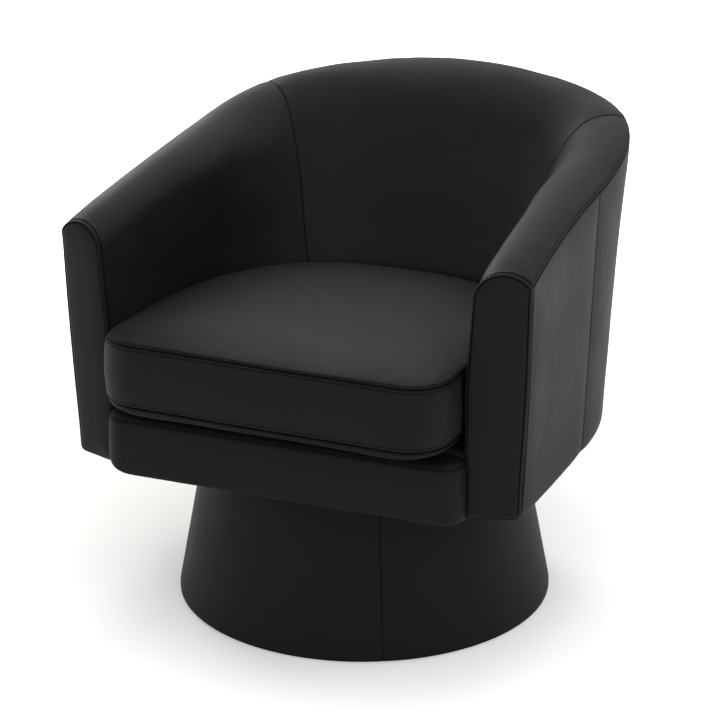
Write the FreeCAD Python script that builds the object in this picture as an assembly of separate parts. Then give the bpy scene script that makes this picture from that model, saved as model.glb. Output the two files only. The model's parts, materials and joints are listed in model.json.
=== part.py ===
import FreeCAD, Part
import math
import os

# Swivel barrel chair, in millimetres. The frame has +Z up and its origin on the swivel axis at the
# floor. The front of the seat faces -Y. The sitter's left arm is on the +X side.

V = FreeCAD.Vector
os.makedirs("parts", exist_ok=True)

# Cloth, leather and board stock
leather = 1.5
seat_cloth = 1.0
dust_cloth = 0.8
board = 18.0
frame_ply = 15.0
fit = 0.3
layer_gap = 0.5
overrun = 40.0

# Conical base
base_foot_radius = 281.5
base_neck_radius = 233.5
base_height = 250.0
base_seam_angle = 27.9
former_wall = 4.0
glide_height = 3.0
glide_radius = 15.0
glide_circle_radius = 240.0
glide_count = 6
floor_ring_hole_radius = 120.0
upright_width = 44.0
upright_depth = 30.0
upright_circle_radius = 192.0
upright_count = 6

# Swivel bearing
swivel_height = 11.0
plate_width = 180.0
plate_corner_radius = 14.0
plate_thickness = 2.5
ball_radius = 4.0
ball_circle_radius = 70.0
ball_count = 18
race_clearance = 0.05
cage_width = 16.0
cage_thickness = 1.5
rivet_radius = 10.0
rivet_head_radius = 18.0
rivet_head_thickness = 3.0
rivet_pocket_radius = 22.0
screw_place = 74.0
screw_radius = 2.5
screw_head_radius = 5.0
screw_head_height = 2.0
screw_length = 16.0
bolt_radius = 3.0
bolt_head_radius = 6.0
bolt_head_height = 2.0
bolt_end_above_board = 5.0
tee_barrel_radius = 4.5
tee_barrel_length = 10.0
tee_flange_radius = 9.5
tee_flange_thickness = 1.5

# Tub plan at the outer top seam
arm_front_y = -259.0
arm_front_half_width = 350.0
rim_taper = 8.0
rim_straight_end_y = 6.0
rim_back_y = 432.0
rim_squareness = 3.26

# Tub plan at its lower edge, tucked in under the seam in front and behind
hem_front_tuck = 13.5
hem_side_flare = 2.0
hem_straight_end_y = 0.0
hem_back_y = 315.0
hem_squareness = 2.5

# Seat well plan, where the inner walls turn upright
arm_width = 84.0
well_straight_end_y = -200.0
well_back_y = 175.0
well_squareness = 2.6

# Heights above the underside of the tub
well_line_height = 184.0
apex_front_height = 355.7
inside_cover_floor_height = 57.0
rail_height = 84.0
deck_floor_height = 3.5

# Tub wall and its rounded top
apex_rise = 97.5
apex_rise_shares = (2.015, -2.947, 0.513, 4.992, -3.526)
crown_in = ((0.0, 37.0), (0.35, 43.0), (0.62, 24.0), (1.0, 30.0))
crown_drop = ((0.0, 20.5), (0.35, 18.0), (0.62, 9.0), (1.0, 7.0))
shoulder_radii = ((0.0, 37.0), (0.2, 38.0), (0.35, 52.0), (0.62, 112.0), (1.0, 105.0))
lean_shares = ((0.0, -0.027), (0.335, 0.16), (0.7, 0.0), (1.0, 0.0))
hem_turn_radii = ((0.0, 8.0), (0.335, 12.0), (0.62, 13.0), (1.0, 14.0))
arm_front_lead = 30.0
lead_end_share = 0.18
turn_start_share = 0.3
turn_ease_share = 1.15
side_seam_share = 0.335
inside_seam_share = 0.625
frame_top_drop = 26.0
front_panel = 6.0

# Front rail and its padded cover
rail_front_y = -300.0
rail_end_inset = 20.0
deck_end_gap = 2.0
deck_front_y = -322.0
deck_corner_radius = 36.0
deck_padding = 7.0
deck_height_shares = (0.0, 0.1, 0.46, 0.86, 0.97, 1.0)
deck_insets = (9.0, 2.5, 0.0, 2.0, 7.0, 13.0)

# Sprung seat, all pitched back together
seat_pitch = 3.0
seat_frame_width = 46.0
seat_clearance = 3.0
strap_width = 48.0
strap_thickness = 1.4
long_strap_count = 5
cross_strap_count = 5
strap_edge = 9.0
felt_thickness = 8.0
block_width = 34.0

# Loose seat cushion, before it is pitched
cushion_side_gap = 6.8
cushion_front_y = -377.0
cushion_back_y = 154.0
cushion_corner_radius = 60.0
cushion_belly_depth = 25.7
cushion_border_height = 87.0
cushion_crown_height = 27.0
border_bulge = 6.0
crown_reach = 150.0
crown_reach_shares = (0.0, 0.03, 0.12, 0.3, 0.55, 0.8, 1.0)
belly_reach = 90.0
belly_reach_shares = (0.0, 0.06, 0.22, 0.5, 0.8, 1.0)

# Steps along the curved outlines
rim_samples = 160
side_steps = 6
corner_steps = 9
back_steps = 8
arc_steps = 5
search_steps = 50

base_top_z = base_height
tub_floor_z = base_top_z + swivel_height
board_top_z = tub_floor_z + board
rim_half_width = arm_front_half_width - rim_taper
hem_front_half_width = arm_front_half_width - hem_front_tuck
hem_half_width = rim_half_width + hem_side_flare
well_half_width = arm_front_half_width - arm_width
well_line_z = tub_floor_z + well_line_height
apex_front_z = tub_floor_z + apex_front_height
inside_cover_floor_z = tub_floor_z + inside_cover_floor_height
rail_top_z = tub_floor_z + rail_height
deck_floor_z = tub_floor_z + deck_floor_height
deck_top_z = rail_top_z + deck_padding
rail_back_y = rail_front_y + board
rail_half_width = well_half_width - rail_end_inset
seat_frame_floor_z = rail_top_z - board
strap_top_z = rail_top_z + 2 * strap_thickness
felt_top_z = strap_top_z + felt_thickness
cushion_floor_z = felt_top_z + seat_cloth + layer_gap
cushion_half_width = well_half_width - cushion_side_gap
cushion_low_seam_z = cushion_floor_z + cushion_belly_depth
cushion_high_seam_z = cushion_low_seam_z + cushion_border_height
cushion_crown_z = cushion_high_seam_z + cushion_crown_height


def blend(table, share):
    """Read a table of (share, value) pairs with an eased step between its entries."""
    for (low, first), (high, last) in zip(table, table[1:]):
        if share <= high:
            part = (share - low) / (high - low)
            part = max(0.0, min(1.0, part))
            return first + (last - first) * part * part * (3.0 - 2.0 * part)
    return table[-1][1]


def side_half_width(y, front_y, front_half_width, half_width, end_y):
    """Half width of a nearly straight side that eases from its front to its rear width."""
    part = (y - front_y) / (end_y - front_y)
    return front_half_width + (half_width - front_half_width) * (1.0 - (1.0 - part) ** 2)


def plan_excess(x, y, plan):
    """Negative inside a plan with straight sides and a squared round back, positive outside."""
    front_half_width, half_width, end_y, back_y, squareness = plan
    if y <= end_y:
        limit = side_half_width(y, arm_front_y, front_half_width, half_width, end_y)
        return abs(x) / limit - 1.0
    across = abs(x) / half_width
    along = (y - end_y) / (back_y - end_y)
    return across ** squareness + along ** squareness - 1.0


def back_point(plan, part, inset):
    """Point on the round back of a plan: part 0 at the side, 1 at the middle of the back."""
    front_half_width, half_width, end_y, back_y, squareness = plan
    angle = part * math.pi / 2
    across = (half_width - inset) * math.cos(angle) ** (2.0 / squareness)
    along = (back_y - inset - end_y) * math.sin(angle) ** (2.0 / squareness)
    return across, end_y + along


rim_plan = (arm_front_half_width, rim_half_width, rim_straight_end_y, rim_back_y, rim_squareness)
hem_plan = (hem_front_half_width, hem_half_width, hem_straight_end_y, hem_back_y, hem_squareness)
well_plan = (well_half_width, well_half_width, well_straight_end_y, well_back_y, well_squareness)


def rim_line():
    """Points of the outer top seam from the arm front to the middle of the back, with distances."""
    points = []
    for step in range(rim_samples):
        y = arm_front_y + (rim_straight_end_y - arm_front_y) * step / rim_samples
        x = side_half_width(y, arm_front_y, arm_front_half_width, rim_half_width, rim_straight_end_y)
        points.append((x, y))
    for step in range(rim_samples + 1):
        part = step / rim_samples
        eased = part if part < 0.5 else 1.0 - 2.0 * (1.0 - part) ** 2
        points.append(back_point(rim_plan, eased, 0.0))
    distances = [0.0]
    for (x0, y0), (x1, y1) in zip(points, points[1:]):
        distances.append(distances[-1] + math.hypot(x1 - x0, y1 - y0))
    return points, distances


rim_points, rim_distances = rim_line()


def rim_at(share):
    """Plan point of the outer top seam at a share of its length."""
    wanted = share * rim_distances[-1]
    for index in range(1, len(rim_distances)):
        if rim_distances[index] >= wanted:
            before = rim_distances[index - 1]
            part = (wanted - before) / (rim_distances[index] - before)
            x0, y0 = rim_points[index - 1]
            x1, y1 = rim_points[index]
            return x0 + (x1 - x0) * part, y0 + (y1 - y0) * part
    return rim_points[-1]


class Station:
    """One upright cut through the tub wall, measured inward from the outer top seam."""

    def __init__(self, share, side):
        self.side = side
        self.x, self.y = rim_at(share)
        turn = max(0.0, (share - turn_start_share) / (1.0 - turn_start_share))
        angle = 90.0 * turn * (turn_ease_share - (turn_ease_share - 1.0) * turn)
        self.inward_x = -math.cos(math.radians(angle))
        self.inward_y = -math.sin(math.radians(angle))
        lead = max(0.0, 1.0 - share / lead_end_share) ** 2
        self.inward_y -= lead * arm_front_lead / (arm_front_half_width - well_half_width)
        self.lean = blend(lean_shares, share)
        self.apex_in = blend(crown_in, share)
        rise = sum(part * share ** (power + 1) for power, part in enumerate(apex_rise_shares))
        self.apex_z = apex_front_z + apex_rise * rise
        self.drop = blend(crown_drop, share)
        self.seam_z = self.apex_z - self.drop
        self.shoulder = blend(shoulder_radii, share)
        self.hem_in = self.distance_to(hem_plan, tub_floor_z)
        self.rake = math.atan2(self.hem_in, self.seam_z - tub_floor_z)
        self.hem_turn = blend(hem_turn_radii, share)
        self.hem_flat = self.hem_turn * math.tan((math.pi / 2 - self.rake) / 2)
        self.well_in = self.distance_to(well_plan, well_line_z)
        self.foot_in = self.distance_to(well_plan, tub_floor_z)
        self.brow_radius = (self.apex_in ** 2 + self.drop ** 2) / (2.0 * self.drop)
        reach = self.well_in - self.apex_in
        fall = well_line_z - (self.apex_z - self.shoulder)
        toward = math.atan2(fall, reach)
        self.slope = toward + math.acos(self.shoulder / math.hypot(reach, fall))

    def plan_point(self, inward, z):
        """Plan place of a point at a distance inward and a height."""
        x = self.x + self.inward_x * inward
        y = self.y + self.inward_y * inward + self.lean * (z - self.seam_z)
        return x, y

    def distance_to(self, plan, z):
        """Distance inward at which this cut meets a plan at a height."""
        low = -well_half_width / 2
        high = rim_half_width + rim_back_y
        for step in range(search_steps):
            middle = (low + high) / 2
            x, y = self.plan_point(middle, z)
            if plan_excess(x, y, plan) > 0.0:
                low = middle
            else:
                high = middle
            if self.inward_x * middle + self.x < 0.0:
                high = middle
        return (low + high) / 2

    def outer(self, z, inset):
        """Distance inward of the outer face at a height."""
        share = (self.seam_z - z) / (self.seam_z - tub_floor_z)
        return self.hem_in * share + inset

    def hem_end(self, inset):
        """End of the rounded lower edge on the underside."""
        return self.hem_in + self.hem_flat, tub_floor_z + inset

    def hem_arc(self, inset):
        """Middle and upper end of the rounded lower edge."""
        centre_in = self.hem_in + self.hem_flat
        centre_z = tub_floor_z + self.hem_turn
        radius = self.hem_turn - inset
        upper = math.pi + self.rake
        angles = ((upper + math.pi * 3 / 2) / 2, upper)
        return tuple((centre_in + radius * math.cos(a), centre_z + radius * math.sin(a)) for a in angles)

    def seam_point(self, inset):
        """Start of the rounded top, under the outer seam."""
        radius = self.brow_radius - inset
        across = self.apex_in - inset
        return inset, self.apex_z - self.brow_radius + math.sqrt(radius ** 2 - across ** 2)

    def brow_middle(self, inset):
        """Point half way along the outer arc of the rounded top."""
        radius = self.brow_radius - inset
        half = math.asin((self.apex_in - inset) / radius) / 2
        centre_z = self.apex_z - self.brow_radius
        return self.apex_in - radius * math.sin(half), centre_z + radius * math.cos(half)

    def shoulder_point(self, inset, share):
        """Point of the inner arc: share 0 at the top, 1 where the inner wall starts."""
        radius = self.shoulder - inset
        angle = math.pi / 2 + (self.slope - math.pi / 2) * share
        centre_z = self.apex_z - self.shoulder
        return self.apex_in + radius * math.cos(angle), centre_z + radius * math.sin(angle)

    def well_point(self, inset):
        """Point where the sloping inner wall turns upright."""
        return self.well_in - inset, well_line_z - inset * math.tan(self.slope / 2)

    def well_wall(self, z, inset):
        """Point of the upright inner wall at a height."""
        part = (well_line_z - z) / (well_line_z - tub_floor_z)
        return self.well_in + (self.foot_in - self.well_in) * part - inset, z

    def place(self, point):
        """Point in space of an (inward, height) pair."""
        x, y = self.plan_point(point[0], point[1])
        return V(self.side * x, y, point[1])


def outline(station, start, steps):
    """Closed wire in one cut: a step is an end point, or a middle and an end point for an arc."""
    edges = []
    here = station.place(start)
    for step in steps + [(start,)]:
        there = station.place(step[-1])
        if len(step) == 1:
            edges.append(Part.makeLine(here, there))
        else:
            edges.append(Part.Arc(here, station.place(step[0]), there).toShape())
        here = there
    return Part.Wire(edges)


def over_top(station, inset):
    """Steps from the outer seam over the rounded top and down to the foot of the inner wall."""
    return [
        (station.brow_middle(inset), (station.apex_in, station.apex_z - inset)),
        (station.shoulder_point(inset, 0.5), station.shoulder_point(inset, 1.0)),
        (station.well_point(inset),),
    ]


def outside_cover_outline(station):
    """Cut of the leather on the outside of the tub."""
    steps = [
        station.hem_arc(0.0),
        ((0.0, station.seam_z),),
        (station.seam_point(leather),),
        (station.hem_arc(leather)[1],),
        (station.hem_arc(leather)[0], station.hem_end(leather)),
    ]
    return outline(station, station.hem_end(0.0), steps)


def frame_outline(station):
    """Cut of the plywood wall that stands on the floor board."""
    near = leather + layer_gap
    far = near + frame_ply
    top_z = station.seam_z - frame_top_drop
    start = (station.outer(board_top_z, near), board_top_z)
    steps = [
        ((station.outer(top_z, near), top_z),),
        ((station.outer(top_z, far), top_z),),
        ((station.outer(board_top_z, far), board_top_z),),
    ]
    return outline(station, start, steps)


def pad_outline(station):
    """Cut of the foam that lines the frame and goes over its top edge."""
    inset = leather + layer_gap
    near = leather + layer_gap
    far = near + frame_ply + layer_gap
    floor_z = board_top_z + fit
    top_z = station.seam_z - frame_top_drop + layer_gap
    start = (station.outer(floor_z, far), floor_z)
    steps = [
        ((station.outer(top_z, far), top_z),),
        ((station.outer(top_z, near), top_z),),
        (station.seam_point(inset),),
    ]
    steps += over_top(station, inset)
    steps.append((station.well_wall(floor_z, inset),))
    return outline(station, start, steps)


def inside_cover_outline(station):
    """Cut of the leather that goes over the top and down the inner wall."""
    start = station.seam_point(0.0)
    steps = over_top(station, 0.0)
    steps.append((station.well_wall(inside_cover_floor_z, 0.0),))
    steps.append((station.well_wall(inside_cover_floor_z, leather),))
    steps.append((station.well_point(leather),))
    steps.append((station.shoulder_point(leather, 1.0),))
    steps.append((station.shoulder_point(leather, 0.5), (station.apex_in, station.apex_z - leather)))
    steps.append((station.brow_middle(leather), station.seam_point(leather)))
    return outline(station, start, steps)


def station_shares():
    """Shares of the rim at which every layer of the tub wall is cut."""
    shares = []
    spans = ((0.0, side_seam_share, side_steps), (side_seam_share, inside_seam_share, corner_steps))
    spans += ((inside_seam_share, 1.0, back_steps),)
    for first, last, count in spans:
        shares += [first + (last - first) * step / count for step in range(count)]
    return shares + [1.0]


def arm_loft(side, first, last, cut):
    """Solid along one arm between two shares of the rim."""
    shares = [share for share in station_shares() if first <= share <= last]
    return Part.makeLoft([cut(Station(share, side)) for share in shares], True, False)


def back_loft(first, cut):
    """Solid round the back from a share on one side to the same share on the other."""
    shares = [share for share in station_shares() if share >= first]
    wires = [cut(Station(share, 1)) for share in shares]
    wires += [cut(Station(share, -1)) for share in shares[-2::-1]]
    return Part.makeLoft(wires, True, False)


def arm_front(side):
    """Padded panel that closes the front of one arm."""
    station = Station(0.0, side)
    start = station.hem_end(0.0)
    steps = [station.hem_arc(0.0), ((0.0, station.seam_z),)]
    steps += over_top(station, 0.0)
    steps.append((station.well_wall(tub_floor_z, 0.0),))
    return Part.Face(outline(station, start, steps)).extrude(V(0, -front_panel, 0))


def well_outline(half_width, front_y, back_y, z, corner_radius):
    """Closed plan wire: straight front with rounded corners, straight sides and a round back."""
    plan = (half_width, half_width, well_straight_end_y, back_y, well_squareness)
    right = [back_point(plan, step / (2 * arc_steps), 0.0) for step in range(2 * arc_steps + 1)]
    edges = []
    corner_x = half_width - corner_radius
    corner_y = front_y + corner_radius
    bend = corner_radius * math.sqrt(0.5)
    if corner_radius > 0:
        edges.append(Part.makeLine(V(-corner_x, front_y, z), V(corner_x, front_y, z)))
        middle = V(corner_x + bend, corner_y - bend, z)
        edges.append(Part.Arc(V(corner_x, front_y, z), middle, V(half_width, corner_y, z)).toShape())
        edges.append(Part.makeLine(V(half_width, corner_y, z), V(half_width, well_straight_end_y, z)))
    else:
        edges.append(Part.makeLine(V(-half_width, front_y, z), V(half_width, front_y, z)))
        edges.append(Part.makeLine(V(half_width, front_y, z), V(half_width, well_straight_end_y, z)))
    for side, points in ((1, right), (-1, right[::-1])):
        for index in range(0, 2 * arc_steps, 2):
            ends = [V(side * x, y, z) for x, y in points[index:index + 3]]
            edges.append(Part.Arc(ends[0], ends[1], ends[2]).toShape())
    if corner_radius > 0:
        start = V(-half_width, well_straight_end_y, z)
        edges.append(Part.makeLine(start, V(-half_width, corner_y, z)))
        middle = V(-corner_x - bend, corner_y - bend, z)
        edges.append(Part.Arc(V(-half_width, corner_y, z), middle, V(-corner_x, front_y, z)).toShape())
    else:
        start = V(-half_width, well_straight_end_y, z)
        edges.append(Part.makeLine(start, V(-half_width, front_y, z)))
    return Part.Wire(edges)


def well_slab(inset, front_y, low_z, high_z):
    """Flat sheet that fills the seat well's plan, less an inset."""
    wire = well_outline(well_half_width - inset, front_y, well_back_y - inset, low_z, 0)
    return Part.Face(wire).extrude(V(0, 0, high_z - low_z))


def pitched(shape):
    """Tip a shape back about the top rear edge of the front rail."""
    turned = shape.copy()
    turned.rotate(V(0, rail_back_y, rail_top_z), V(1, 0, 0), -seat_pitch)
    return turned


def seat_drop(y):
    """How far the pitched seat frame has dropped at a place behind the front rail."""
    return (y - rail_back_y) * math.tan(math.radians(seat_pitch))


def box(low, high):
    """Block between two corners."""
    return Part.makeBox(high[0] - low[0], high[1] - low[1], high[2] - low[2], V(*low))


def cylinder(radius, low_z, high_z, x, y):
    """Upright round bar."""
    return Part.makeCylinder(radius, high_z - low_z, V(x, y, low_z))


def cone_radius(z):
    """Radius of the base's outer face at a height."""
    return base_foot_radius + (base_neck_radius - base_foot_radius) * z / base_height


def cone_ring(outset_in, wall, low_z, high_z, start_angle, angle):
    """Conical wall that lies a distance in from the outer face of the base."""
    points = [
        V(cone_radius(low_z) - outset_in - wall, 0, low_z),
        V(cone_radius(low_z) - outset_in, 0, low_z),
        V(cone_radius(high_z) - outset_in, 0, high_z),
        V(cone_radius(high_z) - outset_in - wall, 0, high_z),
    ]
    face = Part.Face(Part.makePolygon(points + points[:1]))
    face.rotate(V(0, 0, 0), V(0, 0, 1), start_angle)
    return face.revolve(V(0, 0, 0), V(0, 0, 1), angle)


def base_cover(half):
    """One half of the leather cone, from upright seam to upright seam."""
    start = base_seam_angle - 90.0 + 180.0 * half
    return cone_ring(0.0, leather, glide_height, base_height, start, 180.0)


def base_former():
    """Bent board that the leather cone is stretched over."""
    return cone_ring(leather + fit, former_wall, glide_height, base_height, 0.0, 360.0)


def base_floor_ring():
    """Plywood ring at the foot of the base."""
    top_z = glide_height + board
    radius = cone_radius(top_z) - leather - former_wall - 2 * fit
    ring = cylinder(radius, glide_height, top_z, 0, 0)
    return ring.cut(cylinder(floor_ring_hole_radius, 0, top_z + overrun, 0, 0))


def base_top_disc():
    """Plywood disc that carries the swivel."""
    radius = cone_radius(base_height) - leather - former_wall - 2 * fit
    disc = cylinder(radius, base_height - board, base_height, 0, 0)
    disc = disc.cut(cylinder(rivet_pocket_radius, 0, base_height + overrun, 0, 0))
    for x, y in screw_places():
        disc = disc.cut(cylinder(screw_radius, base_height - screw_length, base_height + overrun, x, y))
    return disc


def ring_places(count, radius):
    """Plan places spaced evenly round the axis."""
    turn = 2 * math.pi / count
    return [(radius * math.cos(turn * step), radius * math.sin(turn * step)) for step in range(count)]


def base_uprights():
    """Posts between the floor ring and the top disc."""
    low_z = glide_height + board
    posts = []
    for step in range(upright_count):
        near = upright_circle_radius - upright_depth / 2
        post = box((near, -upright_width / 2, low_z), (near + upright_depth, upright_width / 2, base_height - board))
        post.rotate(V(0, 0, 0), V(0, 0, 1), 360.0 * step / upright_count)
        posts.append(post)
    return Part.makeCompound(posts)


def base_glides():
    """Plastic discs that the chair stands on."""
    discs = [cylinder(glide_radius, 0, glide_height, x, y) for x, y in ring_places(glide_count, glide_circle_radius)]
    return Part.makeCompound(discs)


def screw_places():
    """Plan places of the fasteners at the corners of the swivel plates."""
    return [(screw_place * side, screw_place * end) for side in (-1, 1) for end in (-1, 1)]


def swivel_plate(low_z, hole_radius, fastener_radius):
    """Square race plate with a ball groove on the side of the balls."""
    half = plate_width / 2
    plate = box((-half, -half, low_z), (half, half, low_z + plate_thickness))
    edges = [edge for edge in plate.Edges if abs(edge.tangentAt(edge.FirstParameter).z) > 0.5]
    plate = plate.makeFillet(plate_corner_radius, edges)
    middle_z = base_top_z + swivel_height / 2
    groove = Part.makeTorus(ball_circle_radius, ball_radius + race_clearance, V(0, 0, middle_z))
    plate = plate.cut(groove)
    plate = plate.cut(cylinder(hole_radius, low_z - overrun, low_z + overrun, 0, 0))
    for x, y in screw_places():
        plate = plate.cut(cylinder(fastener_radius, low_z - overrun, low_z + overrun, x, y))
    return plate


def swivel_balls():
    """Ring of steel balls."""
    middle_z = base_top_z + swivel_height / 2
    balls = [Part.makeSphere(ball_radius, V(x, y, middle_z)) for x, y in ring_places(ball_count, ball_circle_radius)]
    return Part.makeCompound(balls)


def swivel_cage():
    """Flat ring with a hole for each ball."""
    low_z = base_top_z + (swivel_height - cage_thickness) / 2
    ring = cylinder(ball_circle_radius + cage_width / 2, low_z, low_z + cage_thickness, 0, 0)
    ring = ring.cut(cylinder(ball_circle_radius - cage_width / 2, low_z - overrun, low_z + overrun, 0, 0))
    for x, y in ring_places(ball_count, ball_circle_radius):
        ring = ring.cut(cylinder(ball_radius + race_clearance, low_z - overrun, low_z + overrun, x, y))
    return ring


def swivel_rivet():
    """Hollow rivet that holds the two plates together."""
    low_z = base_top_z - rivet_head_thickness
    high_z = tub_floor_z + race_clearance
    rivet = cylinder(rivet_radius, low_z, high_z, 0, 0)
    rivet = rivet.fuse(cylinder(rivet_head_radius, low_z, base_top_z, 0, 0))
    rivet = rivet.fuse(cylinder(rivet_head_radius, high_z, high_z + rivet_head_thickness, 0, 0))
    return rivet.removeSplitter()


def lower_plate_screws():
    """Wood screws that hold the lower plate to the base."""
    seat_z = base_top_z + plate_thickness
    screws = []
    for x, y in screw_places():
        shank = cylinder(screw_radius, base_top_z - screw_length, seat_z, x, y)
        screws.append(shank.fuse(cylinder(screw_head_radius, seat_z, seat_z + screw_head_height, x, y)))
    return Part.makeCompound(screws)


def upper_plate_bolts():
    """Bolts that go up through the upper plate and the floor board."""
    seat_z = tub_floor_z - plate_thickness
    bolts = []
    for x, y in screw_places():
        shank = cylinder(bolt_radius, seat_z, board_top_z + bolt_end_above_board, x, y)
        bolts.append(shank.fuse(cylinder(bolt_head_radius, seat_z - bolt_head_height, seat_z, x, y)))
    return Part.makeCompound(bolts)


def tee_nuts():
    """Flanged nuts pressed into the top of the floor board."""
    nuts = []
    for x, y in screw_places():
        nut = cylinder(tee_barrel_radius, board_top_z - tee_barrel_length, board_top_z, x, y)
        nut = nut.fuse(cylinder(tee_flange_radius, board_top_z, board_top_z + tee_flange_thickness, x, y))
        nuts.append(nut.cut(cylinder(bolt_radius, tub_floor_z, board_top_z + overrun, x, y)))
    return Part.makeCompound(nuts)


def hem_wire(z, hem_share, inset):
    """Plan wire inside the tub walls: hem_share 0 runs at their lower edge, 1 clear of its turn."""
    curve_points = []
    for share in station_shares():
        station = Station(share, 1)
        inward = station.hem_in + station.hem_flat * hem_share + inset
        curve_points.append(station.plan_point(inward, tub_floor_z))
    right = [V(x, y, z) for x, y in curve_points]
    left = [V(-x, y, z) for x, y in curve_points[-2::-1]]
    curve = Part.BSplineCurve()
    curve.interpolate(right + left)
    front = Station(0.0, 1)
    x, y = front.plan_point(front.well_in, tub_floor_z)
    corners = [left[-1], V(-x, y, z), V(-rail_half_width, y, z), V(-rail_half_width, rail_back_y, z)]
    corners += [V(rail_half_width, rail_back_y, z), V(rail_half_width, y, z), V(x, y, z), right[0]]
    return Part.Wire([curve.toShape()] + [Part.makeLine(*ends) for ends in zip(corners, corners[1:])])


def tub_floor_board():
    """Plywood floor of the tub, bevelled over the turned lower edge of the walls."""
    inset = leather + layer_gap
    floor = Part.makeLoft([hem_wire(tub_floor_z, 1.0, inset), hem_wire(board_top_z, 0.0, inset)], True, True)
    floor = floor.cut(cylinder(rivet_pocket_radius, 0, board_top_z + overrun, 0, 0))
    for x, y in screw_places():
        floor = floor.cut(cylinder(bolt_radius, 0, board_top_z + overrun, x, y))
        floor = floor.cut(cylinder(tee_barrel_radius, board_top_z - tee_barrel_length, board_top_z + overrun, x, y))
    return floor


def dust_cover():
    """Thin black cloth under the floor board, cut out round the swivel plate."""
    cloth = Part.Face(hem_wire(tub_floor_z - dust_cloth, 1.0, board)).extrude(V(0, 0, dust_cloth))
    half = plate_width / 2 + plate_thickness
    return cloth.cut(box((-half, -half, 0), (half, half, tub_floor_z + overrun)))


def rail_block(gap, low_z):
    """Block of the front rail, grown by a gap on its covered faces."""
    half = rail_half_width + gap
    return box((-half, rail_front_y - gap, low_z), (half, rail_back_y, rail_top_z + gap))


def front_rail():
    """Board across the front of the seat."""
    return rail_block(0, deck_floor_z + leather + fit)


def deck_front_outline(inset, z, back_y):
    """Plan wire of the padded front of the seat, flat at its back."""
    half = well_half_width - deck_end_gap - inset
    front_y = deck_front_y + inset
    corner_x = well_half_width - deck_end_gap - deck_corner_radius
    corner_y = deck_front_y + deck_corner_radius
    bend = (deck_corner_radius - inset) * math.sqrt(0.5)
    edges = [Part.makeLine(V(-half, back_y, z), V(half, back_y, z))]
    edges.append(Part.makeLine(V(half, back_y, z), V(half, corner_y, z)))
    middle = V(corner_x + bend, corner_y - bend, z)
    edges.append(Part.Arc(V(half, corner_y, z), middle, V(corner_x, front_y, z)).toShape())
    edges.append(Part.makeLine(V(corner_x, front_y, z), V(-corner_x, front_y, z)))
    middle = V(-corner_x - bend, corner_y - bend, z)
    edges.append(Part.Arc(V(-corner_x, front_y, z), middle, V(-half, corner_y, z)).toShape())
    edges.append(Part.makeLine(V(-half, corner_y, z), V(-half, back_y, z)))
    return Part.Wire(edges)


def deck_front_body(inset, back_y):
    """Bulged body of the padded front of the seat, less an inset all round."""
    low_z = deck_floor_z + inset
    height = deck_top_z - inset - low_z
    wires = []
    for share, level_inset in zip(deck_height_shares, deck_insets):
        wires.append(deck_front_outline(level_inset + inset, low_z + height * share, back_y))
    return Part.makeLoft(wires, True, False)


def front_rail_pad():
    """Foam on the front rail."""
    return deck_front_body(leather + fit, rail_back_y).cut(rail_block(fit, 0))


def front_rail_cover():
    """Leather over the front rail's foam."""
    return deck_front_body(0.0, rail_back_y).cut(deck_front_body(leather, rail_back_y + fit))


def seat_frame():
    """Plywood frame that the webbing is stapled to."""
    outer = well_slab(seat_clearance, rail_back_y + seat_clearance, seat_frame_floor_z, rail_top_z)
    hole = well_slab(seat_frame_width, rail_back_y + seat_frame_width, 0, rail_top_z + overrun)
    return pitched(outer.cut(hole))


def seat_frame_blocks():
    """Blocks between the floor board and the pitched seat frame."""
    reach = well_half_width - block_width
    back_y = well_back_y - block_width
    places = ((-reach, rail_back_y + block_width), (reach, rail_back_y + block_width))
    places += ((-reach, well_straight_end_y + block_width), (reach, well_straight_end_y + block_width))
    places += ((-block_width * 2, back_y), (block_width * 2, back_y))
    blocks = []
    for x, y in places:
        near, far = y - block_width / 2, y + block_width / 2
        top = [seat_frame_floor_z - seat_drop(place) - fit for place in (near, far)]
        corners = [V(0, near, board_top_z), V(0, far, board_top_z), V(0, far, top[1]), V(0, near, top[0])]
        face = Part.Face(Part.makePolygon(corners + corners[:1]))
        face.translate(V(x - block_width / 2, 0, 0))
        blocks.append(face.extrude(V(block_width, 0, 0)))
    return Part.makeCompound(blocks)


def spread(count, width):
    """Middle places of a number of straps across a width."""
    return [width * ((step + 0.5) / count - 0.5) for step in range(count)]


def seat_webbing(crosswise):
    """Elastic straps of one direction, trimmed to the seat frame."""
    low_z = rail_top_z + strap_thickness * crosswise
    high_z = low_z + strap_thickness
    trim = well_slab(strap_edge, rail_back_y + strap_edge, low_z, high_z)
    straps = []
    if crosswise:
        middle_y = (rail_back_y + well_back_y) / 2
        for place in spread(cross_strap_count, well_back_y - rail_back_y - 2 * seat_frame_width):
            low = (-well_half_width, middle_y + place - strap_width / 2, low_z)
            high = (well_half_width, middle_y + place + strap_width / 2, high_z)
            straps.append(box(low, high).common(trim))
    else:
        for place in spread(long_strap_count, 2 * (well_half_width - seat_frame_width)):
            low = (place - strap_width / 2, rail_back_y, low_z)
            high = (place + strap_width / 2, well_back_y, high_z)
            straps.append(box(low, high).common(trim))
    return pitched(Part.makeCompound(straps))


def deck_felt():
    """Felt pad over the webbing."""
    return pitched(well_slab(seat_clearance, rail_back_y + fit, strap_top_z, felt_top_z))


def deck_cloth():
    """Dark cloth over the felt, under the loose cushion."""
    return pitched(well_slab(seat_clearance, rail_back_y + fit, felt_top_z, felt_top_z + seat_cloth))


def cushion_outline(inset, z):
    """Plan wire of the cushion at a height."""
    radius = max(cushion_corner_radius - inset / 2, cushion_corner_radius / 3)
    return well_outline(cushion_half_width - inset, cushion_front_y + inset, cushion_back_y - inset, z, radius)


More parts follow.
